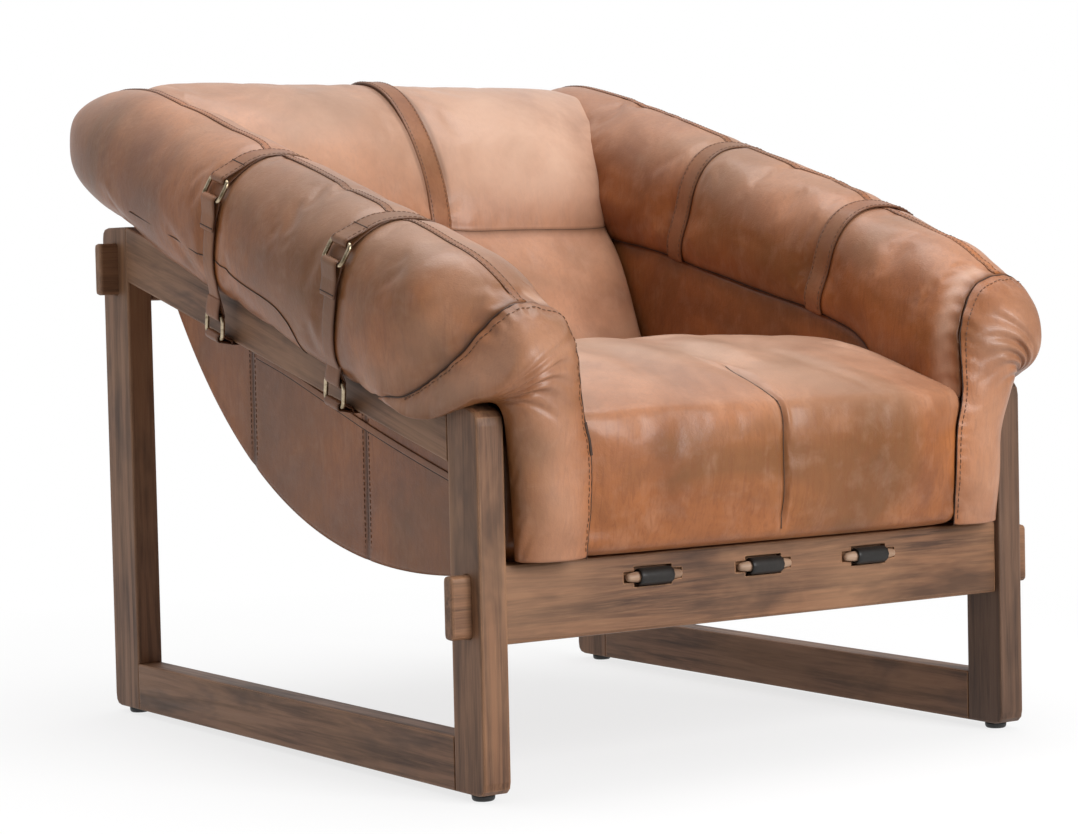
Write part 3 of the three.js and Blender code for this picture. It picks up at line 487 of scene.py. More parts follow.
def leather(name, deep, body, pale, gloss=0.40, shine=0.28):
    """Waxed leather: cloudy colour with brown patches and upright marbling, paler with a painted sheen and
    darker at seams and with painted shade where the piece's shares ask, with pores, fine creases and soft
    folds."""
    material, tree, surface = shader(name)
    place = object_place(tree)
    clouds = noise(tree, place, 7, 5, 0.6, 0.6)
    patches = noise(tree, place, 4.2, 3, 0.55, 0.8)
    blots = noise(tree, place, 32, 4, 0.6, 0.3)
    marbling = noise(tree, object_place(tree, (150, 150, 24)), 1.0, 5, 0.7, 1.2)
    seam = node(tree, "ShaderNodeAttribute", attribute_name="seam").outputs["Fac"]
    painted_sheen = node(tree, "ShaderNodeAttribute", attribute_name="painted_sheen").outputs["Fac"]
    brown = (0.74 * deep[0], 1.05 * deep[1], 1.15 * deep[2])
    colour = blend(tree, spread(tree, clouds, 0.30, 0.68), deep, body)
    colour = blend(tree, spread(tree, patches, 0.45, 0.65, 0, 0.62), colour, brown)
    colour = blend(tree, spread(tree, blots, 0.50, 0.8, 0, 0.16), colour, pale)
    colour = blend(tree, spread(tree, marbling, 0.46, 0.66, 0, 0.48), colour, deep)
    # Painted sheen: the pale tone laid over where the piece's sheen share is high, broken up by the clouds
    sheen_share = maths(tree, "MULTIPLY", painted_sheen, spread(tree, clouds, 0.3, 0.7, 0.45, 0.85))
    colour = blend(tree, sheen_share, colour, pale)
    # Darker at seams, and painted shade where the seam share stands for shade
    colour = blend(tree, maths(tree, "MULTIPLY", seam, 0.75), colour, tuple(0.28 * c for c in deep))
    dull = maths(tree, "ADD", clouds, maths(tree, "MULTIPLY", blots, 0.4))
    roughness = spread(tree, dull, 0.4, 1.0, gloss - 0.08, gloss + 0.12)
    pores = node(tree, "ShaderNodeTexVoronoi", {"Vector": place, "Scale": 620.0}, feature="SMOOTH_F1")
    creases = noise(tree, place, 95, 6, 0.65, 1.4)
    folds = noise(tree, place, 16, 3, 0.5, 0.4)
    bump = raised(tree, folds, 0.30, 0.006)
    bump = raised(tree, creases, 0.30, 0.0012, bump)
    bump = raised(tree, pores.outputs["Distance"], 0.20, 0.0006, bump)
    dress(tree, surface, colour, roughness, bump)
    surface.inputs["Specular IOR Level"].default_value = shine
    surface.inputs["Coat Weight"].default_value = 0.6 * shine
    surface.inputs["Coat Roughness"].default_value = 0.22
    return material


def wood(name, deep, body, pale, turn=(0, 0, 0), rough=0.5):
    """Oiled wood: long grain streaks along local Z, dark smudges, and paler edges."""
    material, tree, surface = shader(name)
    along = object_place(tree, (1, 1, 0.045), turn)
    figure = noise(tree, along, 55, 6, 0.6, 1.6)
    fibre = noise(tree, along, 420, 4, 0.7)
    smudge = noise(tree, object_place(tree, (1, 1, 0.3), turn), 14, 4, 0.6, 0.5)
    patches = noise(tree, object_place(tree), 5, 3, 0.5)
    colour = blend(tree, spread(tree, figure, 0.36, 0.60), deep, body)
    colour = blend(tree, spread(tree, fibre, 0.45, 0.75, 0, 0.4), colour, pale)
    colour = blend(tree, spread(tree, patches, 0.42, 0.66, 0, 0.45), colour, pale)
    colour = blend(tree, spread(tree, smudge, 0.52, 0.70, 0, 0.75), colour, tuple(0.6 * c for c in deep))
    eased = node(tree, "ShaderNodeBevel", {"Radius": 0.0025}, samples=4).outputs["Normal"]
    square = node(tree, "ShaderNodeNewGeometry").outputs["Normal"]
    corner = node(tree, "ShaderNodeVectorMath", {0: eased, 1: square}, operation="DOT_PRODUCT")
    near_edge = spread(tree, corner.outputs["Value"], 0.995, 0.90)
    edge = maths(tree, "MULTIPLY", near_edge, spread(tree, smudge, 0.35, 0.6, 0.2, 0.8))
    colour = blend(tree, edge, colour, tuple(min(1, 1.5 * c) for c in pale))
    roughness = spread(tree, figure, 0.3, 0.7, rough + 0.1, rough - 0.06)
    bump = raised(tree, figure, 0.18, 0.0012, eased)
    bump = raised(tree, fibre, 0.16, 0.0006, bump)
    dress(tree, surface, colour, roughness, bump)
    surface.inputs["Specular IOR Level"].default_value = 0.4
    return material


def metal(name, deep, body):
    """Old plated wire: dull patches in the colour and the gloss, with fine scratches."""
    material, tree, surface = shader(name)
    place = object_place(tree)
    patina = noise(tree, place, 130, 5, 0.65, 0.5)
    scratch = noise(tree, object_place(tree, (900, 900, 90)), 1.0, 2)
    colour = blend(tree, spread(tree, patina, 0.36, 0.64), deep, body)
    roughness = spread(tree, patina, 0.3, 0.7, 0.42, 0.24)
    dress(tree, surface, colour, roughness, raised(tree, scratch, 0.1, 0.0003))
    surface.inputs["Metallic"].default_value = 1.0
    return material


def plain_finish(name, deep, body, scale, rough):
    """A dull solid finish with fine cloudy variation and grain."""
    material, tree, surface = shader(name)
    place = object_place(tree)
    cloud = noise(tree, place, scale, 4)
    colour = blend(tree, spread(tree, cloud, 0.3, 0.7), deep, body)
    roughness = spread(tree, cloud, 0.3, 0.7, rough - 0.06, rough + 0.08)
    dress(tree, surface, colour, roughness, raised(tree, noise(tree, place, 900, 2), 0.2, 0.0004))
    return material


UPRIGHT = (0, 0, 0)
FORE_AND_AFT = (math.pi / 2, 0, 0)
RAIL_TURN = (math.pi / 2 - ARM_SLOPE, 0, 0)
CROSSWISE = (0, math.pi / 2, 0)
WOOD_TONES = ((0.066, 0.029, 0.015), (0.225, 0.104, 0.051), (0.375, 0.197, 0.102))
# Darker wood tones: painted shade for the right front post
SHADED_WOOD_TONES = ((0.040, 0.019, 0.011), (0.120, 0.060, 0.034), (0.205, 0.112, 0.066))
COVER_TONES = ((0.195, 0.061, 0.018), (0.425, 0.146, 0.044), (0.640, 0.420, 0.310))
STRAP_TONES = ((0.200, 0.070, 0.027), (0.345, 0.140, 0.060), (0.480, 0.250, 0.140))
DARK_STRAP_TONES = ((0.012, 0.010, 0.009), (0.026, 0.022, 0.019), (0.055, 0.047, 0.042))
PEG_TONES = ((0.24, 0.13, 0.075), (0.42, 0.26, 0.165), (0.56, 0.40, 0.28))
cover = leather("cover_leather", *COVER_TONES)
strap_cover = leather("strap_leather", *STRAP_TONES, gloss=0.48, shine=0.30)
dark_cover = leather("dark_strap_leather", *DARK_STRAP_TONES, gloss=0.55, shine=0.25)
post_wood = wood("post_wood", *WOOD_TONES, UPRIGHT)
painted_shade_post_wood = wood("painted_shade_post_wood", *SHADED_WOOD_TONES, UPRIGHT)
runner_wood = wood("runner_wood", *WOOD_TONES, FORE_AND_AFT)
rail_wood = wood("rail_wood", *WOOD_TONES, RAIL_TURN)
cross_wood = wood("cross_wood", *WOOD_TONES, CROSSWISE)
peg_wood = wood("peg_wood", *PEG_TONES, CROSSWISE, rough=0.45)
brass = metal("buckle_metal", (0.20, 0.15, 0.09), (0.56, 0.46, 0.32))
glide_black = plain_finish("glide_black", (0.010, 0.010, 0.010), (0.028, 0.027, 0.026), 60, 0.5)
seam_dark = plain_finish("seam_dark", (0.030, 0.012, 0.006), (0.060, 0.025, 0.012), 200, 0.7)
thread = plain_finish("thread", (0.085, 0.038, 0.020), (0.15, 0.072, 0.040), 300, 0.7)

# The wooden frame keeps its solids; the right front post gets a darker copy of the wood, painted shade for
# the chair's own shade on it
WOOD_NODES = {
    "front_apron": cross_wood,
    "rear_rail": cross_wood,
    "left_front_post": post_wood,
    "right_front_post": painted_shade_post_wood,
}
for side in SIDES:
    WOOD_NODES[f"{side}_rear_post"] = post_wood
    WOOD_NODES[f"{side}_runner"] = runner_wood
    WOOD_NODES[f"{side}_arm_rail"] = rail_wood
for name, finish in WOOD_NODES.items():
    nodes[name].data.materials.clear()
    nodes[name].data.materials.append(finish)

ENDS = ("front", "rear")


def row_centre(name):
    """The middle of a solid's box, in depth from the front posts' face."""
    low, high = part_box(name)
    return np.array([(low.x + high.x) / 2, (low.y + high.y) / 2 - FRONT_FACE, (low.z + high.z) / 2])


# Glides under the posts: a low black disc with an eased rim
GLIDE_SIDES = 48
GLIDE_PROFILE = np.array([
    [0.0, 0.0085], [0.0002, 0.0098], [0.0008, 0.0108], [0.0022, 0.0117], [0.0045, 0.0120], [0.0067, 0.0120],
])
for side in SIDES:
    for end in ENDS:
        name = f"{side}_{end}_glide"
        foot = row_centre(name)
        foot[2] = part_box(name)[0].z
        turned(
            f"{name}_disc", foot, (0, 0, 1), GLIDE_PROFILE, GLIDE_SIDES, glide_black, "glide",
            replaced=[name],
        )

# Toggle pegs: turned, tapering to rounded tips, each on its own body
PEG_HALF = 0.035
PEG_RADIUS = 0.0055
PEG_TAPERS = 0.0019
PEG_STRAIGHT = 0.63
PEG_SIDES = 32
peg_place = np.concatenate([[-1, -0.995, -0.98, -0.95], np.linspace(-0.9, 0.9, 31), [0.95, 0.98, 0.995, 1]])
peg_out = np.abs(peg_place)
peg_taper = np.where(peg_out < PEG_STRAIGHT, 0, (peg_out - PEG_STRAIGHT) / 0.37)
peg_tip = np.sqrt(np.clip(1 - (np.clip(peg_out - 0.94, 0, 1) / 0.062) ** 2, 0.06, 1))
peg_radius = (PEG_RADIUS - PEG_TAPERS * peg_taper ** 1.3) * peg_tip
peg_profile = np.stack([peg_place * PEG_HALF, peg_radius], axis=-1)
for end in ENDS:
    for number in (1, 2, 3):
        name = f"{end}_peg_{number}"
        turned(
            f"{name}_turned", row_centre(name), (1, 0, 0), peg_profile, PEG_SIDES, peg_wood, "peg_wood",
            body=name, replaced=[name],
        )

# The sling's curve in side view, as depth and height
SLING_KNOTS = np.array([[0.039, 0.224], [0.3302, 0.187], [0.57825, 0.262], [0.758, 0.57204]])
APRON_TOP = 0.236


def sling_line(t):
    """The sling's profile: a cubic through its two ends, drawn toward two inner knots."""
    t = np.asarray(t, float)[..., None]
    return cubic(t, *SLING_KNOTS)


sling_fine = sling_line(np.linspace(0, 1, 400))


def sling_height(y):
    """Height of the sling's lower face at a depth."""
    return np.interp(y, sling_fine[:, 0], sling_fine[:, 1])


def rail_top(y):
    """Height of the arm rail's top at a depth."""
    return ARM_FRONT_HEIGHT + y * math.tan(ARM_SLOPE)


def side_view(x, line):
    """Points of a side-view line at places across."""
    return together(x, line[..., 0], line[..., 1])


def left_of(way):
    """Unit vectors square to the ways of a line in a plane, to its left."""
    return unit(np.stack([-way[..., 1], way[..., 0]], axis=-1))


# Sling: one sheet hung between the rails
SLING_HALF = 0.3225
SLING_DRAWN = 0.0038
sling_path = even(sling_fine, 120)
sling_face = sling_path + SLING_DRAWN * left_of(np.gradient(sling_path, axis=0))
sling_x = SLING_HALF * np.sin(np.linspace(-math.pi / 2, math.pi / 2, 41))
sling_low = side_view(sling_x[None, :], sling_path[:, None])
sling_high = side_view(sling_x[None, :], sling_face[:, None])
sling_edge = np.broadcast_to(np.abs(sling_x / SLING_HALF) ** 30, sling_low.shape[:2])
sling = slab(
    "sling_sheet", sling_low, sling_high, cover, "cover_leather",
    shares={"seam": sling_edge}, replaced=["sling_base"],
)

# Sling straps: each loops round its front peg, runs under the sling and loops round its rear peg
PEG_SPACING = 0.144
FRONT_PEG = np.array([0.006, 0.212])
REAR_PEG = np.array([0.818, 0.54504])
LOOP_RADIUS = 0.0078
SLING_STRAP_WIDTH = 0.042
SLING_STRAP_THICK = 0.0030
UNDER_SLING = 0.0024


def arc(centre, radius, start, end, count):
    """Points on a circle between two angles in degrees."""
    angle = np.radians(np.linspace(start, end, count))
    return np.asarray(centre) + radius * np.stack([np.cos(angle), np.sin(angle)], axis=-1)


def under_sling(t):
    """A point just under the sling."""
    return sling_line(t) - UNDER_SLING * left_of(sling_line(t + 0.001) - sling_line(t - 0.001))


strap_run = np.vstack([
    [0.038, 0.2105], under_sling(np.linspace(0.16, 0.75, 6)), [0.756, 0.5264], [0.786, 0.544],
])
strap_path = even(np.vstack([
    arc(FRONT_PEG, LOOP_RADIUS, -28, -338, 30),
    curve(strap_run, 90),
    arc(REAR_PEG, LOOP_RADIUS, 150, -150, 30),
]), 190)
for number, x in ((1, -PEG_SPACING), (2, 0.0), (3, PEG_SPACING)):
    ribbon(
        f"sling_strap_{number}_band", side_view(x, strap_path), ACROSS, SLING_STRAP_WIDTH, SLING_STRAP_THICK,
        dark_cover, "dark_strap_leather", replaced=[f"sling_strap_{number}"],
    )

# Section of the arm bolster
BOLSTER_MIDDLE = 0.324
BOLSTER_HALF = 0.071
BOLSTER_LIP = 0.016
BOLSTER_HEIGHT = 0.146
BOLSTER_RISE = 0.0308
BOLSTER_SQUARENESS = 2.6
SHOULDER_SQUARENESS = 2.1
LIP_SQUARENESS = 3.4
REAR_START = 0.800
BOLSTER_END = 0.958
REAR_UPRIGHT = 0.011
REAR_TOP_ROUND = 2.1
REAR_LIP_ROUND = 6.0
REAR_SIDE_ROUND = 2.6
SETTLED = 0.011
FRONT_FALL = 0.010
STRAP_PLACES = {"front": 0.240, "rear": 0.515}
STRAP_PRESS = 0.0020
STRAP_DENT = 0.021
STRAP_CALM = 0.026
BOLSTER_SWELL = 0.0024
BOLSTER_RIPPLE = 0.0011
PLAIN_FROM = 0.12
FRONT_DRAW = 0.080
ON_RAIL = 0.0015
LIP_LINE = knotted([
    [0.050, -0.034], [0.124, -0.040], [0.224, -0.038], [0.308, -0.034], [0.397, -0.024], [0.549, -0.017],
    [0.667, -0.009], [0.767, 0.0065], [0.828, 0.013], [0.900, 0.027], [0.935, 0.041], [0.955, 0.057],
], 400)


def bolster_top(s):
    """Height of the bolster over the rail, growing toward the back."""
    return BOLSTER_HEIGHT + BOLSTER_RISE * s


def bolster_middle(s):
    """Height of the section's middle over the rail."""
    return (bolster_top(s) - BOLSTER_LIP) / 2


def rear_round(s, roundness):
    """Share of its size that the bolster keeps toward its rounded rear end."""
    rear = np.clip((s - REAR_START) / (BOLSTER_END - REAR_START), 0, 1)
    return (1 - rear ** roundness) ** (1 / roundness)


def bolster_section(s, degrees, grow=0.0, sign=1):
    """A rounded square round the bolster's middle, as place across and height off the rail. Its outer lower
    quarter is squarer and hangs to the lip's line, its rear rounds in, and the left crest has settled,
    while the right one falls toward its front."""
    angle = np.radians(degrees)
    sine, cosine = np.sin(angle), np.cos(angle)
    middle = bolster_middle(s)
    lip = np.interp(s, LIP_LINE[:, 0], LIP_LINE[:, 1])
    outside = np.where(sine < 0, LIP_SQUARENESS, SHOULDER_SQUARENESS)
    squareness = np.where(cosine > 0, outside, BOLSTER_SQUARENESS)
    high = (bolster_top(s) - middle) * rear_round(s, REAR_TOP_ROUND)
    hang = np.where(cosine > 0, lip, np.maximum(lip, -BOLSTER_LIP))
    low = (middle - hang) * rear_round(s, REAR_LIP_ROUND)
    wide = BOLSTER_HALF * rear_round(s, REAR_SIDE_ROUND)
    x = BOLSTER_MIDDLE + (wide + grow) * power(cosine, squareness)
    n = middle + (np.where(sine > 0, high, low) + grow) * power(sine, squareness)
    if sign < 0:
        n = n - SETTLED * smooth(n, 0.090, 0.155)
    else:
        n = n - FRONT_FALL * smooth(s, 0.32, 0.10) * smooth(n, 0.06, 0.15)
    return x, n


def bolster_inner_x(s, n):
    """How far in the bolster's inner face stands, at a place along and a height off the rail."""
    middle = bolster_middle(s)
    high = (bolster_top(s) - middle) * rear_round(s, REAR_TOP_ROUND)
    rise = np.clip(np.abs(n - middle) / np.maximum(high, 1e-4), 0, 1)
    wide = BOLSTER_HALF * rear_round(s, REAR_SIDE_ROUND)
    return BOLSTER_MIDDLE - wide * (1 - rise ** BOLSTER_SQUARENESS) ** (1 / BOLSTER_SQUARENESS)


# Seam where a bolster meets its front gusset, from the inner side over the crest to the outer tip
ARCH_SEAM = np.array([
    [0.2495, -0.0285, 0.374], [0.2520, -0.0282, 0.390], [0.2525, -0.0255, 0.416], [0.2525, -0.021, 0.446],
    [0.258, -0.013, 0.474], [0.274, -0.0115, 0.490], [0.310, -0.0095, 0.4965], [0.330, -0.0085, 0.490],
    [0.346, 0.005, 0.4715], [0.361, 0.024, 0.4465], [0.375, 0.060, 0.4195], [0.385, 0.093, 0.4035],
    [0.3895, 0.1215, 0.4030], [0.384, 0.140, 0.4025], [0.370, 0.150, 0.4045],
])
AROUND = 88
CREST_COLUMN = 42
UNDER = 22
FRONT_ROWS = 26
LONG_ROWS = 112
END_ROWS = 20
SECTION_START = 221
SECTION_END = -67
INNER_SEAM_X = 0.2545
INNER_SEAM = knotted([
    [-0.050, -0.030], [0.110, -0.032], [0.126, -0.014], [0.139, 0.005], [0.156, 0.0135], [0.174, 0.0185],
    [0.269, 0.0235], [0.346, 0.0205], [0.467, 0.0185], [0.550, 0.0175], [0.642, 0.0100], [0.720, 0.0070],
    [0.960, 0.0070],
], 500)
INNER_DRAWN = 17
GATHER_COLUMNS = 5.3
GATHER_DEPTH = 0.0011


def inner_seam(s):
    """Height off the rail of the seam under the bolster's inner face; it drops behind the seat in front."""
    return np.interp(s, INNER_SEAM[:, 0], INNER_SEAM[:, 1])


def raised_seam(points, sign):
    """The right arm's front seam stands a little higher and farther out than the left one's."""
    if sign < 0:
        return points
    rise = 0.014 * smooth(points[..., 2], 0.40, 0.47)
    out = 0.020 * smooth(points[..., 2], 0.43, 0.485)
    return points + np.stack([out, 0 * out, rise], axis=-1)


def even_angles(start, end, count):
    """Angles an even way apart round the bolster's section."""
    fine = np.linspace(start, end, 900)
    x, n = bolster_section(0.45, fine)
    way = np.concatenate([[0], np.cumsum(np.hypot(np.diff(x), np.diff(n)))])
    return np.interp(np.linspace(0, way[-1], count), way, fine)


section_angles = np.concatenate([
    even_angles(SECTION_START, 90, CREST_COLUMN + 1),
    even_angles(90, SECTION_END, AROUND - CREST_COLUMN)[1:],
])


def arch_line(sign):
    """The front seam by as many points as the section has, with its crest at the section's crest."""
    fine = raised_seam(knotted(ARCH_SEAM, FINE), sign)
    crest = int(np.argmax(fine[:, 2]))
    inner = even(fine[:crest + 1], CREST_COLUMN + 1)
    outer = even(fine[crest:], AROUND - CREST_COLUMN)
    return np.vstack([inner, outer[1:]])


def body_start(arch):
    """Where along the rail the plain section starts, for each point of the front seam."""
    return np.maximum(PLAIN_FROM, arm_place(arch)[1] + FRONT_DRAW)


def bolster_rows(sign):
    """A bolster: its section carried along the rail, rounded in at the rear, and at the front drawn by
    cubics to the gusset's seam; the underside lies on the rail and the lip hangs outside it."""
    arch = arch_line(sign)
    first = body_start(arch)
    run = np.linspace(0, 1, LONG_ROWS)[:, None]
    turn = np.linspace(0, math.pi / 2 * 0.985, END_ROWS)[1:, None]
    s_long = first + run * (REAR_START - first)
    s_end = REAR_START + (BOLSTER_END - REAR_START) * np.sin(turn) + 0 * first
    s = np.vstack([s_long, s_end])
    x, n = bolster_section(s, section_angles[None, :], 0.0, sign)
    middle_n = bolster_middle(s)
    press = sum(np.exp(-((s - place) / STRAP_DENT) ** 4) for place in STRAP_PLACES.values())
    rounded = np.sin(np.pi * np.clip((s - 0.14) / 0.7, 0, 1))
    swell = BOLSTER_SWELL * (1 - press) * rounded - STRAP_PRESS * press
    puffed = 1 + swell / 0.08 * smooth(n, 0.0, 0.05)
    x = BOLSTER_MIDDLE + (x - BOLSTER_MIDDLE) * puffed
    n = middle_n + (n - middle_n) * puffed
    drawn = smooth(np.arange(AROUND), INNER_DRAWN, 0) * rear_round(s, REAR_SIDE_ROUND)
    x = x + drawn * (INNER_SEAM_X - x[:, :1])
    n = n + drawn * (inner_seam(s) - n[:, :1])
    upright = REAR_UPRIGHT * smooth(s, REAR_START, BOLSTER_END) * smooth(n, 0.02, 0.11)
    body = on_arm(x, s + upright, n)
    start = body[0]
    reach = np.linalg.norm(arch - start, axis=1, keepdims=True)
    ax, _, an = arm_place(arch)
    out = unit(on_arm(ax - BOLSTER_MIDDLE, 0, an - 0.055) - on_arm(0, 0, 0))
    t = np.linspace(0, 1, FRONT_ROWS)[:-1, None, None]
    near = arch + 0.40 * reach * (0.15 * out + 0.95 * ALONG_RAIL)
    far = start - 0.45 * reach * ALONG_RAIL
    skin = np.vstack([cubic(t, arch, near, far, start), body])
    share = np.linspace(0, 1, UNDER + 2)[1:-1][None, :, None]
    flat = skin[:, -1:] + share * (skin[:, :1] - skin[:, -1:])
    fx, fs, fn = arm_place(flat)
    on_rail = smooth(POST_OUTER + 0.004 - fx, 0, 0.002)
    fn = np.where(on_rail > 0, np.maximum(fn, ON_RAIL * on_rail + fn * (1 - on_rail)), fn)
    rings = np.concatenate([skin, on_arm(fx, fs, fn)], axis=1)
    calm = 1 - press_share(rings)
    rings[..., 2] += BOLSTER_RIPPLE * ripple(rings, 0.11, 21 + sign) * calm
    gathers = np.sin(2 * np.pi * np.arange(AROUND) / GATHER_COLUMNS)
    gathers = gathers * bell(np.arange(FRONT_ROWS), 2.5, 2.0)[:, None]
    rings[:FRONT_ROWS, :AROUND] += (GATHER_DEPTH * gathers)[..., None] * out
    rings[..., 0] *= sign
    return rings


def press_share(points):
    """One under the straps and nothing elsewhere."""
    s = arm_place(points)[1]
    return sum(np.exp(-((s - place) / STRAP_CALM) ** 6) for place in STRAP_PLACES.values())


def rail_row(s, first):
    """The row of a bolster's skin at a place along the rail, where its plain section starts at first."""
    return FRONT_ROWS - 1 + (s - first) / (REAR_START - first) * (LONG_ROWS - 1)


def on_skin(grid, row, column):
    """Points of a grid at broken row and column numbers."""
    r = np.clip(np.floor(row).astype(int), 0, grid.shape[0] - 2)
    c = np.clip(np.floor(column).astype(int), 0, grid.shape[1] - 2)
    u = (row - r)[:, None]
    v = (column - c)[:, None]
    near = (1 - v) * grid[r, c] + v * grid[r, c + 1]
    return (1 - u) * near + u * ((1 - v) * grid[r + 1, c] + v * grid[r + 1, c + 1])


SEAM_LIFT = 0.0006
INNER_SEAM_ROWS = 96
bolster_skins = {}
seam_lines = []
crest_stitches = []
LIP_SEAM = curve([
    [0.715, -16.8], [0.690, -16.5], [0.588, -16.5], [0.502, -15.5], [0.453, -17.0], [0.400, -18.5],
    [0.362, -20.5], [0.336, -26.0], [0.324, -35.0], [0.319, -48.0], [0.318, -62.0],
], 240)
for side, sign in SIDES.items():
    rings = bolster_rows(sign)
    rows, columns = rings.shape[:2]
    place = np.arange(columns)[None, :]
    row = np.arange(rows)[:, None]
    _, _, off = arm_place(rings)
    # Darker at the front seam and along the inner seam, with painted shade in them. Painted sheen: paler over
    # the top, in a strip beside the front seam on the inner side, and over the outer front.
    seam = 0.9 * np.exp(-(row / 1.6) ** 2) + 0.8 * bell(place, 0, 1.2) + 0 * off
    painted_sheen = smooth(off, 0.08, 0.15) * 0.4 + 0.6 * bell(row, 4.5, 2.5) * (place < CREST_COLUMN - 3)
    painted_sheen = painted_sheen + 0.30 * bell(row, 10, 9) * (place > CREST_COLUMN + 3)
    bolster = tube(
        f"{side}_bolster", rings, cover, "cover_leather",
        shares={"seam": np.clip(seam, 0, 1), "painted_sheen": painted_sheen}, replaced=[f"{side}_arm_bolster"],
    )
    under = 1.0 * (place >= AROUND) + 1.0 * (place == 0)
    held = np.clip(np.exp(-(row / 2.0) ** 2) + under + press_share(rings) + 0 * off, 0, 1)
    rings = puff(bolster, rings, held)
    bolster_skins[side] = rings
    refine(bolster)
    first = body_start(arch_line(sign))
    lip_column = np.interp(-LIP_SEAM[:, 1], -section_angles, np.arange(AROUND))
    lip_first = np.interp(lip_column, np.arange(AROUND), first)
    lip_row = rail_row(LIP_SEAM[:, 0], lip_first)
    seam_lines.append(on_skin(rings, lip_row, lip_column) + [SEAM_LIFT * sign, 0, 0])
    seam_lines.append(rings[0, :AROUND])
    seam_lines.append(rings[FRONT_ROWS:FRONT_ROWS + INNER_SEAM_ROWS, 0])

# Raised band with twin stitching along the crest of each bolster
BAND_WIDTH = 0.0105
BAND_THICK = 0.0013
BAND_LIFT = 0.0003
BAND_STITCHES = 0.0036
BAND_STITCH_LENGTH = 0.0046
for side in SIDES:
    line = bolster_skins[side][1:-10, CREST_COLUMN]
    path = even(line + BAND_LIFT * OFF_RAIL, 150)
    ribbon(f"{side}_crest_band", path, ACROSS, BAND_WIDTH, BAND_THICK, cover, "cover_leather")
    up = np.broadcast_to(OFF_RAIL, path.shape)
    for offset in (-BAND_STITCHES, BAND_STITCHES):
        shifted = path + offset * ACROSS + SEAM_LIFT * up
        crest_stitches.append(stitch_row(shifted, up, BAND_STITCH_LENGTH))
stitching("crest_stitches", crest_stitches, "cover_leather")

# Front gusset: pairs of points on its outer seam and its inner edge, with the pulls of the cubic between them
GUSSET_OUTER = np.array([
    [0.2445, -0.018, 0.2380], [0.2425, -0.026, 0.300], [0.2435, -0.028, 0.345], [0.2510, -0.0285, 0.382],
    *ARCH_SEAM[2:13],
    [0.389, 0.137, 0.4025],
])
GUSSET_INNER = np.array([
    [0.3165, 0.003, 0.2380], [0.3195, 0.003, 0.300], [0.3225, 0.003, 0.345], [0.3285, -0.0015, 0.380],
    [0.3325, -0.0015, 0.3915], [0.3345, 0.003, 0.3965], [0.3380, 0.0055, 0.3985], [0.3420, 0.007, 0.3990],
    [0.3480, 0.009, 0.3985], [0.3520, 0.012, 0.3980], [0.3570, 0.018, 0.3960], [0.3640, 0.032, 0.3905],
    [0.3750, 0.058, 0.3830], [0.3840, 0.087, 0.3835], [0.3885, 0.118, 0.3940], [0.389, 0.1365, 0.4012],
])
OUTER_PULL = np.array([
    [0.020, -0.012, 0], [0.0255, -0.013, 0], [0.027, -0.014, 0], [0.027, -0.018, 0], [0.0263, -0.021, -0.005],
    [0.025, -0.040, -0.015], [0.0195, -0.055, -0.027], [0.0086, -0.0626, -0.0346], [0.0036, -0.0626, -0.0353],
    [-0.0027, -0.0592, -0.0333], [-0.0065, -0.047, -0.0254], [-0.002, -0.034, -0.0208],
    [0.0024, -0.018, -0.0156], [0.0024, -0.0072, -0.009], [0.001, -0.002, -0.0043],
    [0.0001, -0.0003, -0.0003],
])
INNER_PULL = np.array([
    [0.006, -0.026, 0], [0.008, -0.033, 0], [0.0085, -0.035, 0], [0.008, -0.042, 0], [0.0075, -0.050, 0.001],
    [0.005, -0.060, 0.003], [0.0035, -0.070, 0.0056], [0.0038, -0.075, 0.006], [0.0037, -0.073, 0.0058],
    [0.0080, -0.0647, 0.0033], [0.0140, -0.045, 0], [0.0160, -0.0255, -0.0017], [0.0105, -0.0117, -0.0018],
    [0.0064, -0.0048, -0.0008], [0.0024, -0.0012, -0.0003], [0.0002, -0.0001, 0],
])
GUSSET_ALONG = 132
GUSSET_FRONT = 50
GUSSET_BACK = 12
GUSSET_PUFF_CAP = 0.005
GUSSET_FACE = (60, 25)
PUCKER_DEPTH = 0.0013
GUSSET_RIPPLE = 0.0010
GUSSET_BACK_DEPTH = 0.003
# Creases: place along, depth, and middle across
CREASES = (
    (0.30, 0.0030, 0.62), (0.345, 0.0042, 0.55), (0.39, 0.0046, 0.5), (0.445, 0.0032, 0.45),
    (0.25, 0.0020, 0.6),
)


def gusset_outward(grid, wrap):
    """Unit vectors square to a gusset, which face forward."""
    square = outward(grid, wrap)
    return square * np.sign(-square[GUSSET_FACE][1])


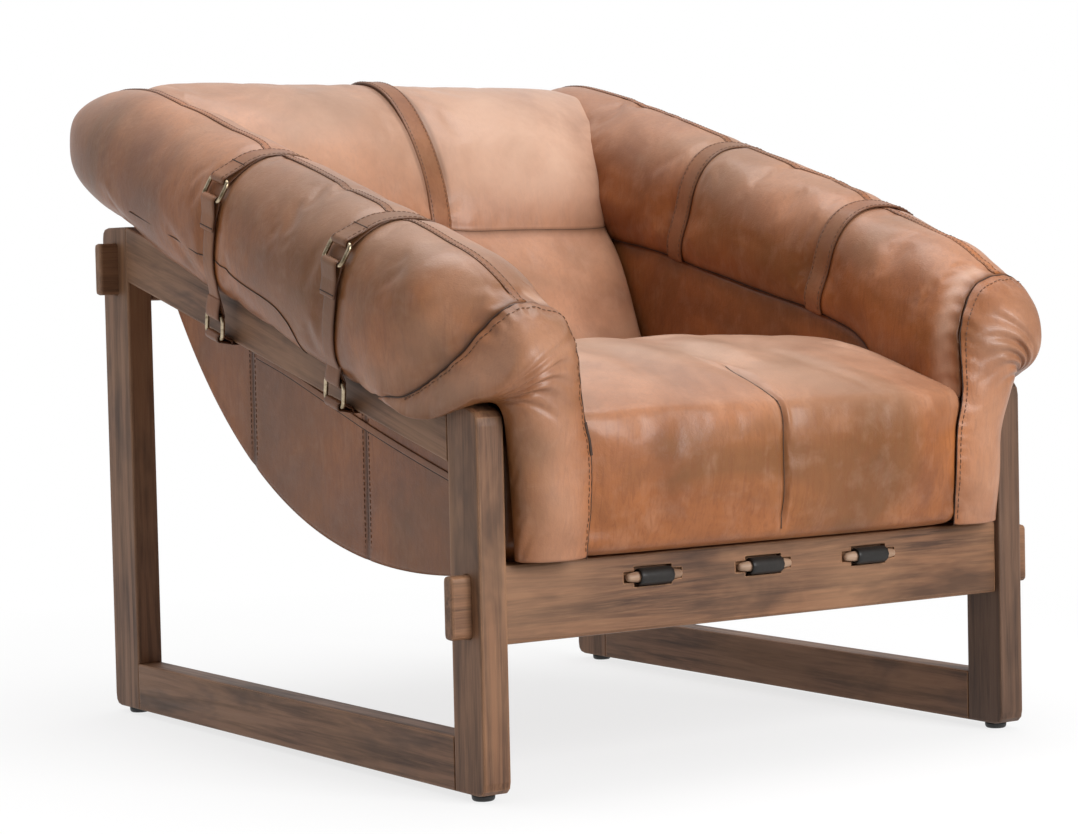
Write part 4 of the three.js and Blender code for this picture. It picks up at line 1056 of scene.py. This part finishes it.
def gusset_rows(sign):
    """A gusset: from each point of the outer seam a cubic runs forward and round to the inner edge, with
    slanting creases over the arm's end and puckers along the seam; a shallow back closes it."""
    table = np.hstack([raised_seam(GUSSET_OUTER, sign), GUSSET_INNER, OUTER_PULL, INNER_PULL])
    fine = knotted(table, 2000)
    way = way_along(fine[:, :6])
    full = read_at(np.linspace(0, way[-1], GUSSET_ALONG), way, fine)
    outer, inner = full[:, None, :3], full[:, None, 3:6]
    near, far = outer + full[:, None, 6:9], inner + full[:, None, 9:]
    b = (1 - np.cos(np.linspace(0, math.pi, GUSSET_FRONT))) / 2
    skin = cubic(b[None, :, None], outer, near, far, inner)
    square = gusset_outward(skin, False)
    a = np.linspace(0, 1, GUSSET_ALONG)[:, None]
    slant = a - 0.20 * b
    crease = 0
    for place, depth, middle in CREASES:
        fold = bell(slant, place, 0.010) - 0.45 * bell(slant, place + 0.022, 0.012)
        crease = crease + depth * fold * bell(b, middle, 0.26)
    arm_end = smooth(a, 0.30, 0.40) * smooth(a, 0.90, 0.75)
    wave = np.sin(a * 170 + 3 * np.sin(a * 31))
    pucker = PUCKER_DEPTH * wave * bell(b, 0.07, 0.07) * (0.35 + 0.65 * arm_end)
    skin = skin - (crease + pucker)[..., None] * square
    c = np.linspace(1, 0, GUSSET_BACK + 2)[1:-1]
    back = outer + c[None, :, None] * (inner - outer)
    back[..., 1] += GUSSET_BACK_DEPTH * np.sin(np.pi * c)
    rings = np.concatenate([skin, back], axis=1)
    plump = np.minimum(1, np.linalg.norm(inner - outer, axis=-1) / 0.06)
    loose = np.concatenate([np.sin(np.pi * b), 0 * c])
    rings[..., 1] += GUSSET_RIPPLE * ripple(rings, 0.07, 33 + sign) * plump * loose
    return rings * [sign, 1, 1]


STITCHED_ROWS = slice(2, 118)
STITCHED_COLUMN = 7
FALLING_ROWS = 48
SLIT_LOW = 0.340
SLIT_HIGH = 0.379
gusset_stitches = []
for side, sign in SIDES.items():
    rings = gusset_rows(sign)
    column = np.arange(rings.shape[1])[None, :]
    # Darker at the outer seam and the inner edge, with painted shade there; painted sheen across the middle
    # of the front
    seam = np.clip(bell(column, 0, 2.0) + 0.7 * bell(column, GUSSET_FRONT - 1, 1.5), 0, 1)
    seam = np.broadcast_to(seam, rings.shape[:2])
    painted_sheen = np.broadcast_to(0.35 * bell(column, GUSSET_FRONT * 0.42, 12), rings.shape[:2])
    gusset = tube(
        f"{side}_gusset", rings, cover, "cover_leather",
        shares={"seam": seam, "painted_sheen": painted_sheen}, replaced=[f"{side}_front_gusset"],
    )
    sewn = bell(column, 0, 2.0) + bell(column, GUSSET_FRONT - 1, 3.0) + 1.0 * (column >= GUSSET_FRONT)
    rings = puff(gusset, rings, np.clip(np.broadcast_to(sewn, rings.shape[:2]), 0, 1), GUSSET_PUFF_CAP)
    refine(gusset)
    square = gusset_outward(rings, True)[STITCHED_ROWS, STITCHED_COLUMN]
    edge = rings[STITCHED_ROWS, STITCHED_COLUMN] + BAND_LIFT * square
    gusset_stitches.append(stitch_row(edge, square))
    seam_lines.append(rings[:FALLING_ROWS, 0])
    height = rings[:, 0, 2]
    in_slit = (height > SLIT_LOW) & (height < SLIT_HIGH) & (np.arange(len(rings)) < GUSSET_FACE[0])
    slit_line = rings[in_slit, 0]
stitching("gusset_stitches", gusset_stitches, "cover_leather")

# Seat cushion: its outline in side view, from the front's foot over the top and back under along the sling
SEAT_HALF = 0.2565
SEAT_FRONT_INSET = 0.0095
SEAT_FACE = np.array([
    [-0.006, 0.2390], [-0.020, 0.246], [-0.030, 0.270], [-0.0345, 0.310], [-0.0355, 0.345], [-0.0350, 0.372],
    [-0.0285, 0.3875], [-0.012, 0.3960], [0.030, 0.4105], [0.080, 0.4280], [0.150, 0.4445], [0.250, 0.443],
    [0.340, 0.434], [0.430, 0.423], [0.495, 0.412], [0.520, 0.401], [0.531, 0.383], [0.543, 0.356],
])
SEAT_CREST = 0.446
SEAT_CROWN = 0.008
SEAT_DART = 0.072
SEAT_GROOVE = 0.0034
SEAT_VALLEY = 0.0030
SEAT_WELT = 0.0010
SEAT_DRAWN = 0.007
SEAT_TOP_RIPPLE = 0.0018
SEAT_FACE_RIPPLE = 0.0012
OVER_SLING = 0.0062
SEAT_MIDDLE = np.array([0.23, 0.335])
seat_under = sling_line(np.linspace(0.62, 0.03, 12)) + [0, 0.0068]
seat_line = curve(np.vstack([SEAT_FACE, seat_under, [[0.034, 0.2385]]]), 176, True)


def places_across(middle, edge_share, field):
    """Shares across a cushion from -1 to 1: close near the middle and at the edges, wider in the field."""
    edge = 1 - edge_share * (1 - np.sin(np.linspace(0, math.pi / 2 * 0.97, 12)))
    return np.unique(np.round(np.concatenate([middle, edge, -edge, field, -field]), 5))[:, None]


def dart_share(y):
    """One along the seat's dart, fading to nothing behind its end."""
    return smooth(y, SEAT_DART + 0.012, SEAT_DART - 0.020)


def seat_rows():
    """The seat: its outline carried across, crowned to the middle, rounded in at both sides, with a sewn
    groove down the middle and shallow puckers drawn into it."""
    q = places_across(np.arange(-0.05, 0.0501, 0.004), 0.09, np.linspace(0.06, 0.905, 32))
    size = (1 - np.abs(q) ** 9) ** (1 / 9)
    y = np.broadcast_to(seat_line[:, 0], (len(q), len(seat_line)))
    z = np.broadcast_to(seat_line[:, 1], (len(q), len(seat_line)))
    above = np.clip((z - SEAT_MIDDLE[1]) / (SEAT_CREST - SEAT_MIDDLE[1]), 0, 1)
    forward = smooth(y, 0.05, -0.02) * smooth(z, 0.245, 0.27)
    inset = SEAT_FRONT_INSET * smooth(y, 0.10, -0.02) * smooth(z, 0.388, 0.345)
    dart = dart_share(y)
    groove = dart * (SEAT_GROOVE * bell(q, 0, 0.013) + SEAT_VALLEY * bell(q, 0, 0.09))
    welt = dart * SEAT_WELT * bell(q, 0.020, 0.010)
    drawn = SEAT_DRAWN * bell(q, 0, 0.12) * bell(y, 0.42, 0.06) * above
    z = z - above * (SEAT_CROWN * q * q + groove - welt) - drawn
    y = y + forward * (groove - welt + 0.0085 * np.abs(q) ** 3)
    y = SEAT_MIDDLE[0] + (y - SEAT_MIDDLE[0]) * (1 - (1 - size) * 0.05)
    z = SEAT_MIDDLE[1] + (z - SEAT_MIDDLE[1]) * (1 - (1 - size) * 0.4 * (1 - 0.80 * smooth(y, 0.06, 0.0)))
    rings = together((SEAT_HALF - inset) * q, y, z)
    rings[..., 2] += SEAT_TOP_RIPPLE * above * ripple(rings, 0.10, 5)
    rings[..., 1] += SEAT_FACE_RIPPLE * forward * ripple(rings, 0.08, 6)
    low = np.where(rings[..., 1] < 0.04, APRON_TOP + 0.0015, sling_height(rings[..., 1]) + OVER_SLING)
    rings[..., 2] = np.maximum(rings[..., 2], low)
    return rings, q, above, forward


seat_rings, seat_q, seat_above, seat_forward = seat_rows()
in_dart = seat_line[:, 0] < SEAT_DART
# Darker along the centre seam, with painted shade along both sides where the seat meets the arms; painted
# sheen over the top
seat_seam = 0.5 * bell(seat_q, 0, 0.007) * (seat_above + seat_forward > 0.1) * in_dart
seat_seam = np.clip(seat_seam + 0.8 * smooth(np.abs(seat_q), 0.975, 1), 0, 1)
seat_sheen = 0.95 * seat_above ** 1.5 * np.ones_like(seat_seam)
seat = tube(
    "seat", seat_rings, cover, "cover_leather",
    shares={"seam": seat_seam, "painted_sheen": seat_sheen}, replaced=["seat_cushion"],
)
seat_free = np.clip(seat_above * 1.5 + seat_forward, 0, 1)
seat_corner = bell(np.linalg.norm(seat_line - [-0.026, 0.389], axis=1), 0, 0.012)
seat_sewn = bell(seat_q, 0, 0.016) * dart_share(seat_line[:, 0]) + smooth(np.abs(seat_q), 0.93, 0.98)
seat_held = np.clip(1 - seat_free + seat_corner + seat_sewn, 0, 1)
seat_rings = puff(seat, seat_rings, seat_held)
refine(seat)
seat_middle = seat_rings[len(seat_rings) // 2]
dart_sewn = (seat_line[:, 1] > 0.25) & in_dart & (seat_above + seat_forward > 0.02)[0]
seam_lines.append(seat_middle[dart_sewn])

# Back cushion: its outline in side view, up the face, over the crest and down behind to the rear rail
TUFT_HEIGHT = 0.571
BACK_LINE = np.array([
    [0.5265, 0.392], [0.543, 0.440], [0.566, 0.495], [0.592, 0.543], [0.6145, TUFT_HEIGHT], [0.632, 0.605],
    [0.657, 0.659], [0.692, 0.709], [0.737, 0.7445], [0.786, 0.763], [0.825, 0.7625], [0.856, 0.742],
    [0.868, 0.710], [0.862, 0.668], [0.845, 0.628], [0.815, 0.594], [0.786, 0.5845], [0.762, 0.583],
])
back_under = sling_line(np.linspace(0.97, 0.71, 8)) + [-0.0045, 0.0035]
back_line = curve(np.vstack([BACK_LINE, back_under]), 176, True)
BACK_MIDDLE = np.array([0.74, 0.62])
BACK_STRAP_HALF = 0.0145
BACK_HALF = 0.2525
BACK_WIDENS = 0.0625
BACK_WIDEST = 0.315
PANEL_PLUMP = 0.010
TUFT_DEPTH = 0.006
TUFT_VALLEY = 0.005
TUFT_MIDDLE = 0.010
CHANNEL_DEPTH = 0.004
BACK_RIPPLE = 0.0016
BOLSTER_CLEAR = 0.0015


def back_rows():
    """The back: its outline carried across, wider at the top, rounded in at the sides, with a seam across at
    the tuft, two plump panels over it, and a channel down the middle under the strap."""
    q = places_across(np.linspace(-0.075, 0.075, 13), 0.10, np.linspace(0.10, 0.90, 30))
    size = (1 - np.abs(q) ** 7) ** (1 / 7)
    y = np.broadcast_to(back_line[:, 0], (len(q), len(back_line)))
    z = np.broadcast_to(back_line[:, 1], (len(q), len(back_line)))
    out = unit(back_line - BACK_MIDDLE)
    facing = smooth(y, 0.80, 0.74)
    tuft = bell(z, TUFT_HEIGHT, 0.011) * facing
    wide_tuft = bell(z, TUFT_HEIGHT, 0.038) * facing
    upper = smooth(z, TUFT_HEIGHT, TUFT_HEIGHT + 0.08)
    level = 1 - 0.85 * smooth(z, 0.70, 0.752)
    channel = bell(q, 0, 0.085) * upper * level
    panel = PANEL_PLUMP * upper * level * np.sin(np.pi * np.clip(np.abs(q) / 0.95, 0, 1)) ** 0.8
    dip = TUFT_DEPTH * tuft + TUFT_VALLEY * wide_tuft + TUFT_MIDDLE * bell(q, 0, 0.10) * wide_tuft
    move = panel - (dip + CHANNEL_DEPTH * channel)
    y = y + move * out[:, 0]
    z = z + move * out[:, 1]
    y = BACK_MIDDLE[0] + (y - BACK_MIDDLE[0]) * (1 - (1 - size) * 0.5)
    z = BACK_MIDDLE[1] + (z - BACK_MIDDLE[1]) * (1 - (1 - size) * 0.25)
    half = BACK_HALF + BACK_WIDENS * smooth(z, 0.56, 0.75)
    rings = together(half * q, y, z)
    rings += BACK_RIPPLE * ripple(rings, 0.12, 9)[..., None] * np.array([0, -0.7, 0.5])
    _, s, n = arm_place(rings)
    free = np.where(n < 0.0, 0.2530, bolster_inner_x(s, n)) - BOLSTER_CLEAR
    limit = free + (BACK_WIDEST - free) * np.where(s < BOLSTER_END, smooth(n, 0.05, 0.11), 1.0)
    rings[..., 0] = np.sign(rings[..., 0]) * np.minimum(np.abs(rings[..., 0]), limit)
    return rings, q, tuft, upper


back_rings, back_q, back_tuft, back_upper = back_rows()
# Darker along the tuft seam, with painted shade beside the strap's edges and at both sides; painted sheen
# over the upper back, stronger toward the right
back_seam = np.clip(
    bell(back_line[:, 1], TUFT_HEIGHT, 0.0035) * smooth(back_line[:, 0], 0.80, 0.74)
    + 0.8 * bell(np.abs(back_q), 0.056, 0.010) * back_upper
    + 0.8 * smooth(np.abs(back_q), 0.97, 1), 0, 1,
)
back_sheen = (0.28 + 0.32 * back_upper) * (1 + 0.75 * smooth(back_q, -0.2, 0.4)) + 0 * back_seam
back = tube(
    "back", back_rings, cover, "cover_leather",
    shares={"seam": back_seam, "painted_sheen": back_sheen}, replaced=["back_cushion"],
)
back_face = smooth(back_line[:, 1], 0.41, 0.45) * smooth(back_line[:, 0], 0.85, 0.80)
back_held = 1 - back_face + back_tuft + bell(back_q, 0, 0.09) * back_upper
back_held = back_held + smooth(np.abs(back_q), 0.90, 0.97)
back_rings = puff(back, back_rings, np.clip(back_held, 0, 1))
refine(back)
tuft_column = int(np.argmin(np.linalg.norm(back_line - BACK_LINE[4], axis=1)))
seam_lines.append(back_rings[3:-3, tuft_column])

# Sewn strap down the middle of the back
BACK_STRAP_THICK = 0.0050
BACK_STRAP_LIFT = 0.0028
BACK_STRAP_STITCHES = 0.0110
BACK_STRAP_START = (0.626, 0.573)
BACK_STRAP_END = (0.858, 0.640)


def off_back(line):
    """Unit vectors square to a line down the back, away from the back's middle."""
    square = unit(np.cross(ACROSS, np.gradient(line, axis=0)))
    return square * np.sign((square[:, 1:] * (line[:, 1:] - BACK_MIDDLE)).sum(axis=1).mean())


middle_row = back_rings[len(back_rings) // 2]
strap_start, strap_end = sorted(
    int(np.argmin(np.linalg.norm(middle_row[:, 1:] - spot, axis=1)))
    for spot in (BACK_STRAP_START, BACK_STRAP_END)
)
strap_way = middle_row[strap_start:strap_end + 1]
back_strap_path = even(strap_way + BACK_STRAP_LIFT * off_back(strap_way), 120)
ribbon(
    "back_strap_band", back_strap_path, ACROSS, 2 * BACK_STRAP_HALF, BACK_STRAP_THICK, strap_cover,
    "strap_leather", replaced=["back_strap"],
)
strap_up = off_back(back_strap_path)
stitching("back_strap_stitches", [
    stitch_row(back_strap_path + offset * ACROSS + BACK_STRAP_THICK / 2 * strap_up, strap_up)
    for offset in (-BACK_STRAP_STITCHES, BACK_STRAP_STITCHES)
], "strap_leather")

# Arm pads: the padded inner walls between the sling and the bolsters
PAD_INNER = 0.2555
PAD_OUTER = 0.3220
PAD_TOP = 0.005
PAD_FRONT = 0.0195
PAD_REAR = 0.693
PAD_BULGE = 0.003
PAD_AROUND = 64


def pad_rows(sign):
    """A pad: a rounded square carried front to back, its foot on the sling and its top at the bolster."""
    share = np.concatenate([
        [0.0, 0.002, 0.006, 0.013], np.linspace(0.025, 0.975, 80), [0.987, 0.994, 0.998, 1.0],
    ])
    y = PAD_FRONT + share * (PAD_REAR - PAD_FRONT)
    size = np.clip(1 - np.abs(2 * share - 1) ** 40, 0.0, 1) ** 0.5 * 0.5 + 0.5
    low = np.where(y < 0.041, APRON_TOP + 0.001, sling_height(y) + OVER_SLING) + 0.0005
    high = rail_top(y) + (inner_seam(y / ARM_COS) + PAD_TOP) / ARM_COS
    angle = np.linspace(0, 2 * math.pi, PAD_AROUND, endpoint=False)[None, :]
    bulge = PAD_BULGE * np.sin(np.pi * share)[:, None]
    wide = (PAD_OUTER - PAD_INNER) / 2
    x = (PAD_OUTER + PAD_INNER) / 2 + wide * size[:, None] * power(np.cos(angle), 6.0)
    x = x - bulge * (np.cos(angle) < -0.6)
    centre = ((low + high) / 2)[:, None]
    z = centre + ((high - low) / 2 * size)[:, None] * power(np.sin(angle), 9.0)
    return together(x * sign, y[:, None], z)


for side, sign in SIDES.items():
    rings = pad_rows(sign)
    _, _, off = arm_place(rings)
    # Painted shade: the whole pad darker, and darker still toward its top under the bolster
    seam = 0.20 + 0.3 * smooth(off, -0.004, 0.010)
    pad = tube(
        f"{side}_pad", rings, cover, "cover_leather",
        shares={"seam": seam, "painted_sheen": 0 * off}, replaced=[f"{side}_arm_pad"],
    )
    refine(pad)

# Side panels: sheets hung inside the rails, with two sewn seams, their lower edge on the sling's curve
PANEL_INNER = 0.3232
PANEL_OUTER = 0.3268
PANEL_SEAMS = (0.272, 0.522)
PANEL_FRONT = 0.0185
PANEL_REAR = 0.735
HEM_WIDTH = 0.0075
HEM_THICK = 0.0022
HEM_LINE = curve([
    [0.045, -0.094], [0.130, -0.094], [0.255, -0.091], [0.360, -0.085], [0.440, -0.081], [0.505, -0.0805],
], 120)
PANEL_STITCHES = 0.006
SEAM_SUNK = 0.0012
SEAM_SHORT = 0.004
panel_stitches = []
panel_y = np.linspace(PANEL_FRONT, PANEL_REAR, 180)
panel_low = np.where(panel_y < 0.040, APRON_TOP + 0.001, sling_height(panel_y) + 0.0005)
panel_high = np.maximum(rail_top(panel_y) - 0.0207, panel_low + 0.002)
panel_share = np.linspace(0, 1, 40)
panel_z = panel_low[:, None] + panel_share[None, :] * (panel_high - panel_low)[:, None]
panel_groove = sum(bell(panel_y, place, 0.004) for place in PANEL_SEAMS)[:, None] + 0 * panel_z
panel_hem = bell(panel_share, 0.03, 0.05)[None, :] + 0 * panel_z
for side, sign in SIDES.items():
    outer_x = PANEL_OUTER - 0.0010 * panel_groove + 0.0006 * panel_hem
    face = together(sign * outer_x, panel_y[:, None], panel_z)
    inside = together(sign * PANEL_INNER, panel_y[:, None], panel_z)
    # Painted shade: the whole panel a little darker, and darker along its two seams
    panel = slab(
        f"{side}_panel", face, inside, cover, "cover_leather",
        shares={"seam": np.clip(0.20 + panel_groove, 0, 1)}, replaced=[f"{side}_side_panel"],
    )
    hem = on_arm(PANEL_OUTER + 0.0008, HEM_LINE[:, 0], HEM_LINE[:, 1]) * [sign, 1, 1]
    ribbon(f"{side}_hem_band", hem, OFF_RAIL, HEM_WIDTH, HEM_THICK, strap_cover, "strap_leather")
    seam_lines.append(hem - (HEM_WIDTH / 2 + 0.0006) * OFF_RAIL)
    for place in PANEL_SEAMS:
        low = np.interp(place, panel_y, panel_low) + SEAM_SHORT
        high = np.interp(place, panel_y, panel_high) - SEAM_SHORT
        line = together(sign * PANEL_OUTER, place, np.linspace(low, high, 30))
        seam_lines.append(line - [sign * SEAM_SUNK, 0, 0])
        for offset in (-PANEL_STITCHES, PANEL_STITCHES):
            square = np.broadcast_to(sign * ACROSS, line.shape)
            panel_stitches.append(stitch_row(line + [0, offset, 0], square))
stitching("panel_stitches", panel_stitches, "cover_leather")

# Dark sewn seams of the covers, and a dark cord of painted shade in the slit beside the seat
SLIT_RADIUS = 0.0020
SEAM_RADIUS = 0.0006
FOLD_RADIUS = 0.0007
# The slit beside the seat is a thick dark cord: painted shade in its opening
seam_cords("seat_slit_shade", [slit_line], SLIT_RADIUS, "cover_leather")
seam_cords("cover_seams", seam_lines, SEAM_RADIUS, "cover_leather")

# Buckled arm straps and their wire rings, drawn in the arm's section as place across and height off the rail
STRAP_WIDTH = 0.030
LOWER_NARROWS = 0.22
STRAP_THICK = 0.0028
WIRE = 0.0025
BAR_CLEAR = 0.00681
LOOP = 0.0041
RING_TOP_ANGLE = 34
RING_LOW_ANGLE = 13
RING_LENGTH = 0.025
RING_CORNER = 0.006
RING_PLAY = 0.0015
WIRE_SIDES = 14
LOWER_BAR = np.array([POST_OUTER + 0.020, -0.034])
LOWER_RING_LEAN = -0.002
TAB_UNDER_RAIL = -0.0658
STRAP_STITCHES = 0.0115
SEWN_FROM = 0.02
SEWN_TO = 0.80
FOLD_INSET = 0.001


def wire_ring(name, upper_bar, lower_bar, s, sign, replaced):
    """A ring of round wire: a circle carried round a rounded rectangle that stands in the arm's section."""
    middle = (upper_bar + lower_bar) / 2
    half_length = np.linalg.norm((upper_bar - lower_bar) / 2)
    rise = (upper_bar - lower_bar) / 2 / half_length
    inner_width = STRAP_WIDTH / 2 + RING_PLAY + WIRE - RING_CORNER
    inner_length = half_length - RING_CORNER
    flat = np.vstack([
        arc((a * inner_width, b * inner_length), RING_CORNER, start, start + 90, 8)
        for a, b, start in ((1, 1, 0), (-1, 1, 90), (-1, -1, 180), (1, -1, 270))
    ])
    flat = even(np.vstack([flat, flat[:1]]), 97)[:-1]
    side_way = -left_of(np.roll(flat, -1, axis=0) - np.roll(flat, 1, axis=0))
    angle = np.linspace(0, 2 * math.pi, WIRE_SIDES, endpoint=False)
    spot = flat[:, None] + WIRE * np.cos(angle)[None, :, None] * side_way[:, None]
    depth = np.broadcast_to(WIRE * np.sin(angle), spot.shape[:2])
    face = np.array([rise[1], -rise[0]])
    x = middle[0] + spot[..., 1] * rise[0] + depth * face[0]
    n = middle[1] + spot[..., 1] * rise[1] + depth * face[1]
    grid = on_arm(x, s + spot[..., 0], n) * [sign, 1, 1]
    rows, columns = grid.shape[:2]
    faces = grid_quads(rows + 1, columns, True) % (rows * columns)
    return make_piece(name, grid.reshape(-1, 3), faces.tolist(), brass, "buckle_metal", replaced=replaced)


def across_rail(path, s, sign):
    """A line in the arm's section as points in space."""
    return on_arm(path[:, 0], s, path[:, 1]) * [sign, 1, 1]


strap_stitches = []
fold_seams = []


def sew(path, s, sign):
    """Two stitch rows along a strap, on its outer face."""
    line = across_rail(even(path, 200), s, sign)
    square = -sign * unit(np.cross(ALONG_RAIL, np.gradient(line, axis=0)))
    part = slice(int(200 * SEWN_FROM), int(200 * SEWN_TO))
    for offset in (-STRAP_STITCHES, STRAP_STITCHES):
        row = line[part] + offset * ALONG_RAIL + (STRAP_THICK / 2) * square[part]
        strap_stitches.append(stitch_row(row, square[part]))


def section_spot(s, degrees, grow, sign):
    """A point of the bolster's section at an angle."""
    return np.stack(bolster_section(s, degrees, grow, sign), axis=-1)


def section_line(s, start, end, count, grow, sign):
    """A line round the bolster's section between two angles."""
    return np.stack(bolster_section(s, np.linspace(start, end, count), grow, sign), axis=-1)


def inner_line(side, s, degrees, lift):
    """A line over the bolster's own skin, from the inner seam up to an angle, lifted off the skin."""
    column = np.linspace(0, np.interp(-degrees, -section_angles, np.arange(AROUND)), 60)
    start = np.interp(column, np.arange(AROUND), body_start(arch_line(SIDES[side])))
    skin = on_skin(bolster_skins[side], rail_row(s, start), column)
    x, _, n = arm_place(skin * [SIDES[side], 1, 1])
    line = np.stack([x, n], axis=-1)
    return line + lift * left_of(np.gradient(line, axis=0))


def arm_strap(name, path, s, sign, width, node_name):
    """A strap led round the arm's section."""
    ribbon(
        name, across_rail(path, s, sign), ALONG_RAIL, width, STRAP_THICK, strap_cover, "strap_leather",
        replaced=[node_name],
    )


def buckled_strap(side, sign, end, s):
    """One buckled strap: its upper half over the bolster, a ring, its lower half, a ring, and the tab."""
    stem = f"{side}_{end}"
    bar_one = section_spot(s, RING_TOP_ANGLE, BAR_CLEAR, sign)
    bar_two = bar_one + RING_LENGTH * unit(section_spot(s, RING_LOW_ANGLE, BAR_CLEAR, sign) - bar_one)
    bar_three = LOWER_BAR
    bar_four = bar_three + [LOWER_RING_LEAN, -RING_LENGTH]
    lie = STRAP_THICK / 2 + 0.0006 - STRAP_PRESS
    over = inner_line(side, s, 84, STRAP_THICK / 2 + 0.0005)
    lifted = section_line(s, 74, 53, 8, lie + np.linspace(0.0012, 0.0036, 8), sign)
    tail = section_line(s, 49, 76, 10, lie + 0.0002, sign)
    upper = even(np.vstack([over, lifted, arc(bar_one, LOOP, 62, -150, 20), tail]), 170)
    arm_strap(f"{stem}_upper_band", upper, s, sign, STRAP_WIDTH, f"{stem}_upper_strap")
    wire_ring(f"{stem}_upper_wire", bar_one, bar_two, s, sign, [f"{stem}_upper_ring"])
    under = section_line(s, 2, -34, 10, lie + 0.0016, sign)
    outer = section_line(s, -1.2, 4, 6, lie + 0.0052, sign)
    lower = even(np.vstack([
        outer, arc(bar_two, LOOP, 0, 190, 18), under, arc(bar_three, LOOP, 165, 330, 14),
        bar_three + [0.0040, 0.006], bar_three + [0.0030, 0.020],
    ]), 120)
    run = np.linspace(0, 1, len(lower))
    narrow = STRAP_WIDTH * (1 - LOWER_NARROWS * smooth(run, 0.24, 0.36) * smooth(run, 0.82, 0.70))
    arm_strap(f"{stem}_lower_band", lower, s, sign, narrow, f"{stem}_lower_strap")
    wire_ring(f"{stem}_lower_wire", bar_three, bar_four, s, sign, [f"{stem}_lower_ring"])
    height = bar_four[1] - 0.0025
    tab = even(np.vstack([
        [0.352, height], [0.366, height + 0.0006], arc(bar_four, LOOP, 140, -100, 18),
        [0.366, height - 0.0035], [0.352, height - 0.004], [0.3274, height - 0.006],
    ]), 80)
    tab[:, 1] = np.where(tab[:, 0] < 0.3635, np.minimum(tab[:, 1], TAB_UNDER_RAIL), tab[:, 1])
    arm_strap(f"{stem}_tab_band", tab, s, sign, STRAP_WIDTH, f"{stem}_strap_tab")
    sew(upper, s, sign)
    half = STRAP_WIDTH / 2 - FOLD_INSET
    for x, n in (section_spot(s, 55, lie + 0.0048, sign), outer[0] + [0.0014, 0.004]):
        fold_seams.append(on_arm(x, np.linspace(s - half, s + half, 12), n) * [sign, 1, 1])


for side, sign in SIDES.items():
    for end, s in STRAP_PLACES.items():
        buckled_strap(side, sign, end, s)
stitching("strap_stitches", strap_stitches, "strap_leather")
seam_cords("fold_seams", fold_seams, FOLD_RADIUS, "strap_leather")

# Pale floor that keeps the chair's shadow and fades to white
FLOOR_SIZE = 12.0
FLOOR_SEEN = (0.90, 0.90, 0.90)
FLOOR_BOUNCE = (0.50, 0.50, 0.50)


def floor_finish():
    """Matt white near the chair; plain white for the camera farther off."""
    material, tree, surface = shader("floor")
    output = next(made for made in tree.nodes if made.type == "OUTPUT_MATERIAL")
    place = node(tree, "ShaderNodeTexCoord").outputs["Object"]
    way = node(tree, "ShaderNodeVectorMath", {0: place}, operation="LENGTH").outputs["Value"]
    path = node(tree, "ShaderNodeLightPath")
    seen = maths(tree, "MAXIMUM", path.outputs["Is Camera Ray"], path.outputs["Is Glossy Ray"])
    far = maths(tree, "MULTIPLY", spread(tree, way, 0.30, 1.5, 0.72, 1.0), seen)
    glow = node(tree, "ShaderNodeEmission", {"Color": (1, 1, 1, 1), "Strength": 1.0})
    near = surface.outputs["BSDF"]
    mixed = node(tree, "ShaderNodeMixShader", {0: far, 1: near, 2: glow.outputs["Emission"]})
    tree.links.new(mixed.outputs["Shader"], output.inputs["Surface"])
    tone = blend(tree, seen, FLOOR_BOUNCE, FLOOR_SEEN)
    tree.links.new(tone, surface.inputs["Base Color"])
    surface.inputs["Roughness"].default_value = 0.9
    surface.inputs["Specular IOR Level"].default_value = 0.1
    return material


half_floor = FLOOR_SIZE / 2
floor_mesh = bpy.data.meshes.new("floor")
floor_mesh.from_pydata(
    [(a * half_floor, b * half_floor, 0) for a, b in ((-1, -1), (1, -1), (1, 1), (-1, 1))],
    [], [(0, 1, 2, 3)],
)
floor_mesh.materials.append(floor_finish())
floor = bpy.data.objects.new("floor", floor_mesh)
scene.collection.objects.link(floor)

# White surroundings for the camera, and a soft light that is stronger from behind and above
WHITE = (1, 1, 1, 1)
world = bpy.data.worlds.new("studio")
scene.world = world
world.use_nodes = True
sky = world.node_tree
sky.nodes.clear()
sky_path = node(sky, "ShaderNodeLightPath")
sky_seen = maths(sky, "MAXIMUM", sky_path.outputs["Is Camera Ray"], sky_path.outputs["Is Transmission Ray"])
sky_way = node(sky, "ShaderNodeTexCoord").outputs["Generated"]
sky_behind = node(sky, "ShaderNodeVectorMath", {0: sky_way, 1: (0.10, 0.80, 0.45)}, operation="DOT_PRODUCT")
sky_strength = spread(sky, sky_behind.outputs["Value"], -0.35, 0.75, 0.12, 0.80)
soft = node(sky, "ShaderNodeBackground", {"Color": WHITE, "Strength": sky_strength})
white = node(sky, "ShaderNodeBackground", {"Color": WHITE, "Strength": 1.0})
sky_mix = node(sky, "ShaderNodeMixShader", {0: sky_seen, 1: soft.outputs[0], 2: white.outputs[0]})
sky_out = node(sky, "ShaderNodeOutputWorld")
sky.links.new(sky_mix.outputs[0], sky_out.inputs["Surface"])


NEARLY_UP = (0, 0.02, 1)


def lamp(name, place, target, size, power_watts):
    """A square soft lamp that faces a point."""
    data = bpy.data.lights.new(name, "AREA")
    data.size = size
    data.energy = power_watts
    made = bpy.data.objects.new(name, data)
    scene.collection.objects.link(made)
    back = unit(np.array(place) - np.array(target))
    right = unit(np.cross(NEARLY_UP, back))
    stand(made, right, np.cross(back, right), back, place)


lamp("top_lamp", (0.1, 0.1, 2.9), (0, 0, 0.4), 2.0, 44)
lamp("front_lamp", (0.5, -3.0, 1.4), (0, 0, 0.4), 1.6, 84)
lamp("left_lamp", (-2.8, 0.2, 0.9), (-0.4, 0, 0.5), 1.2, 5)
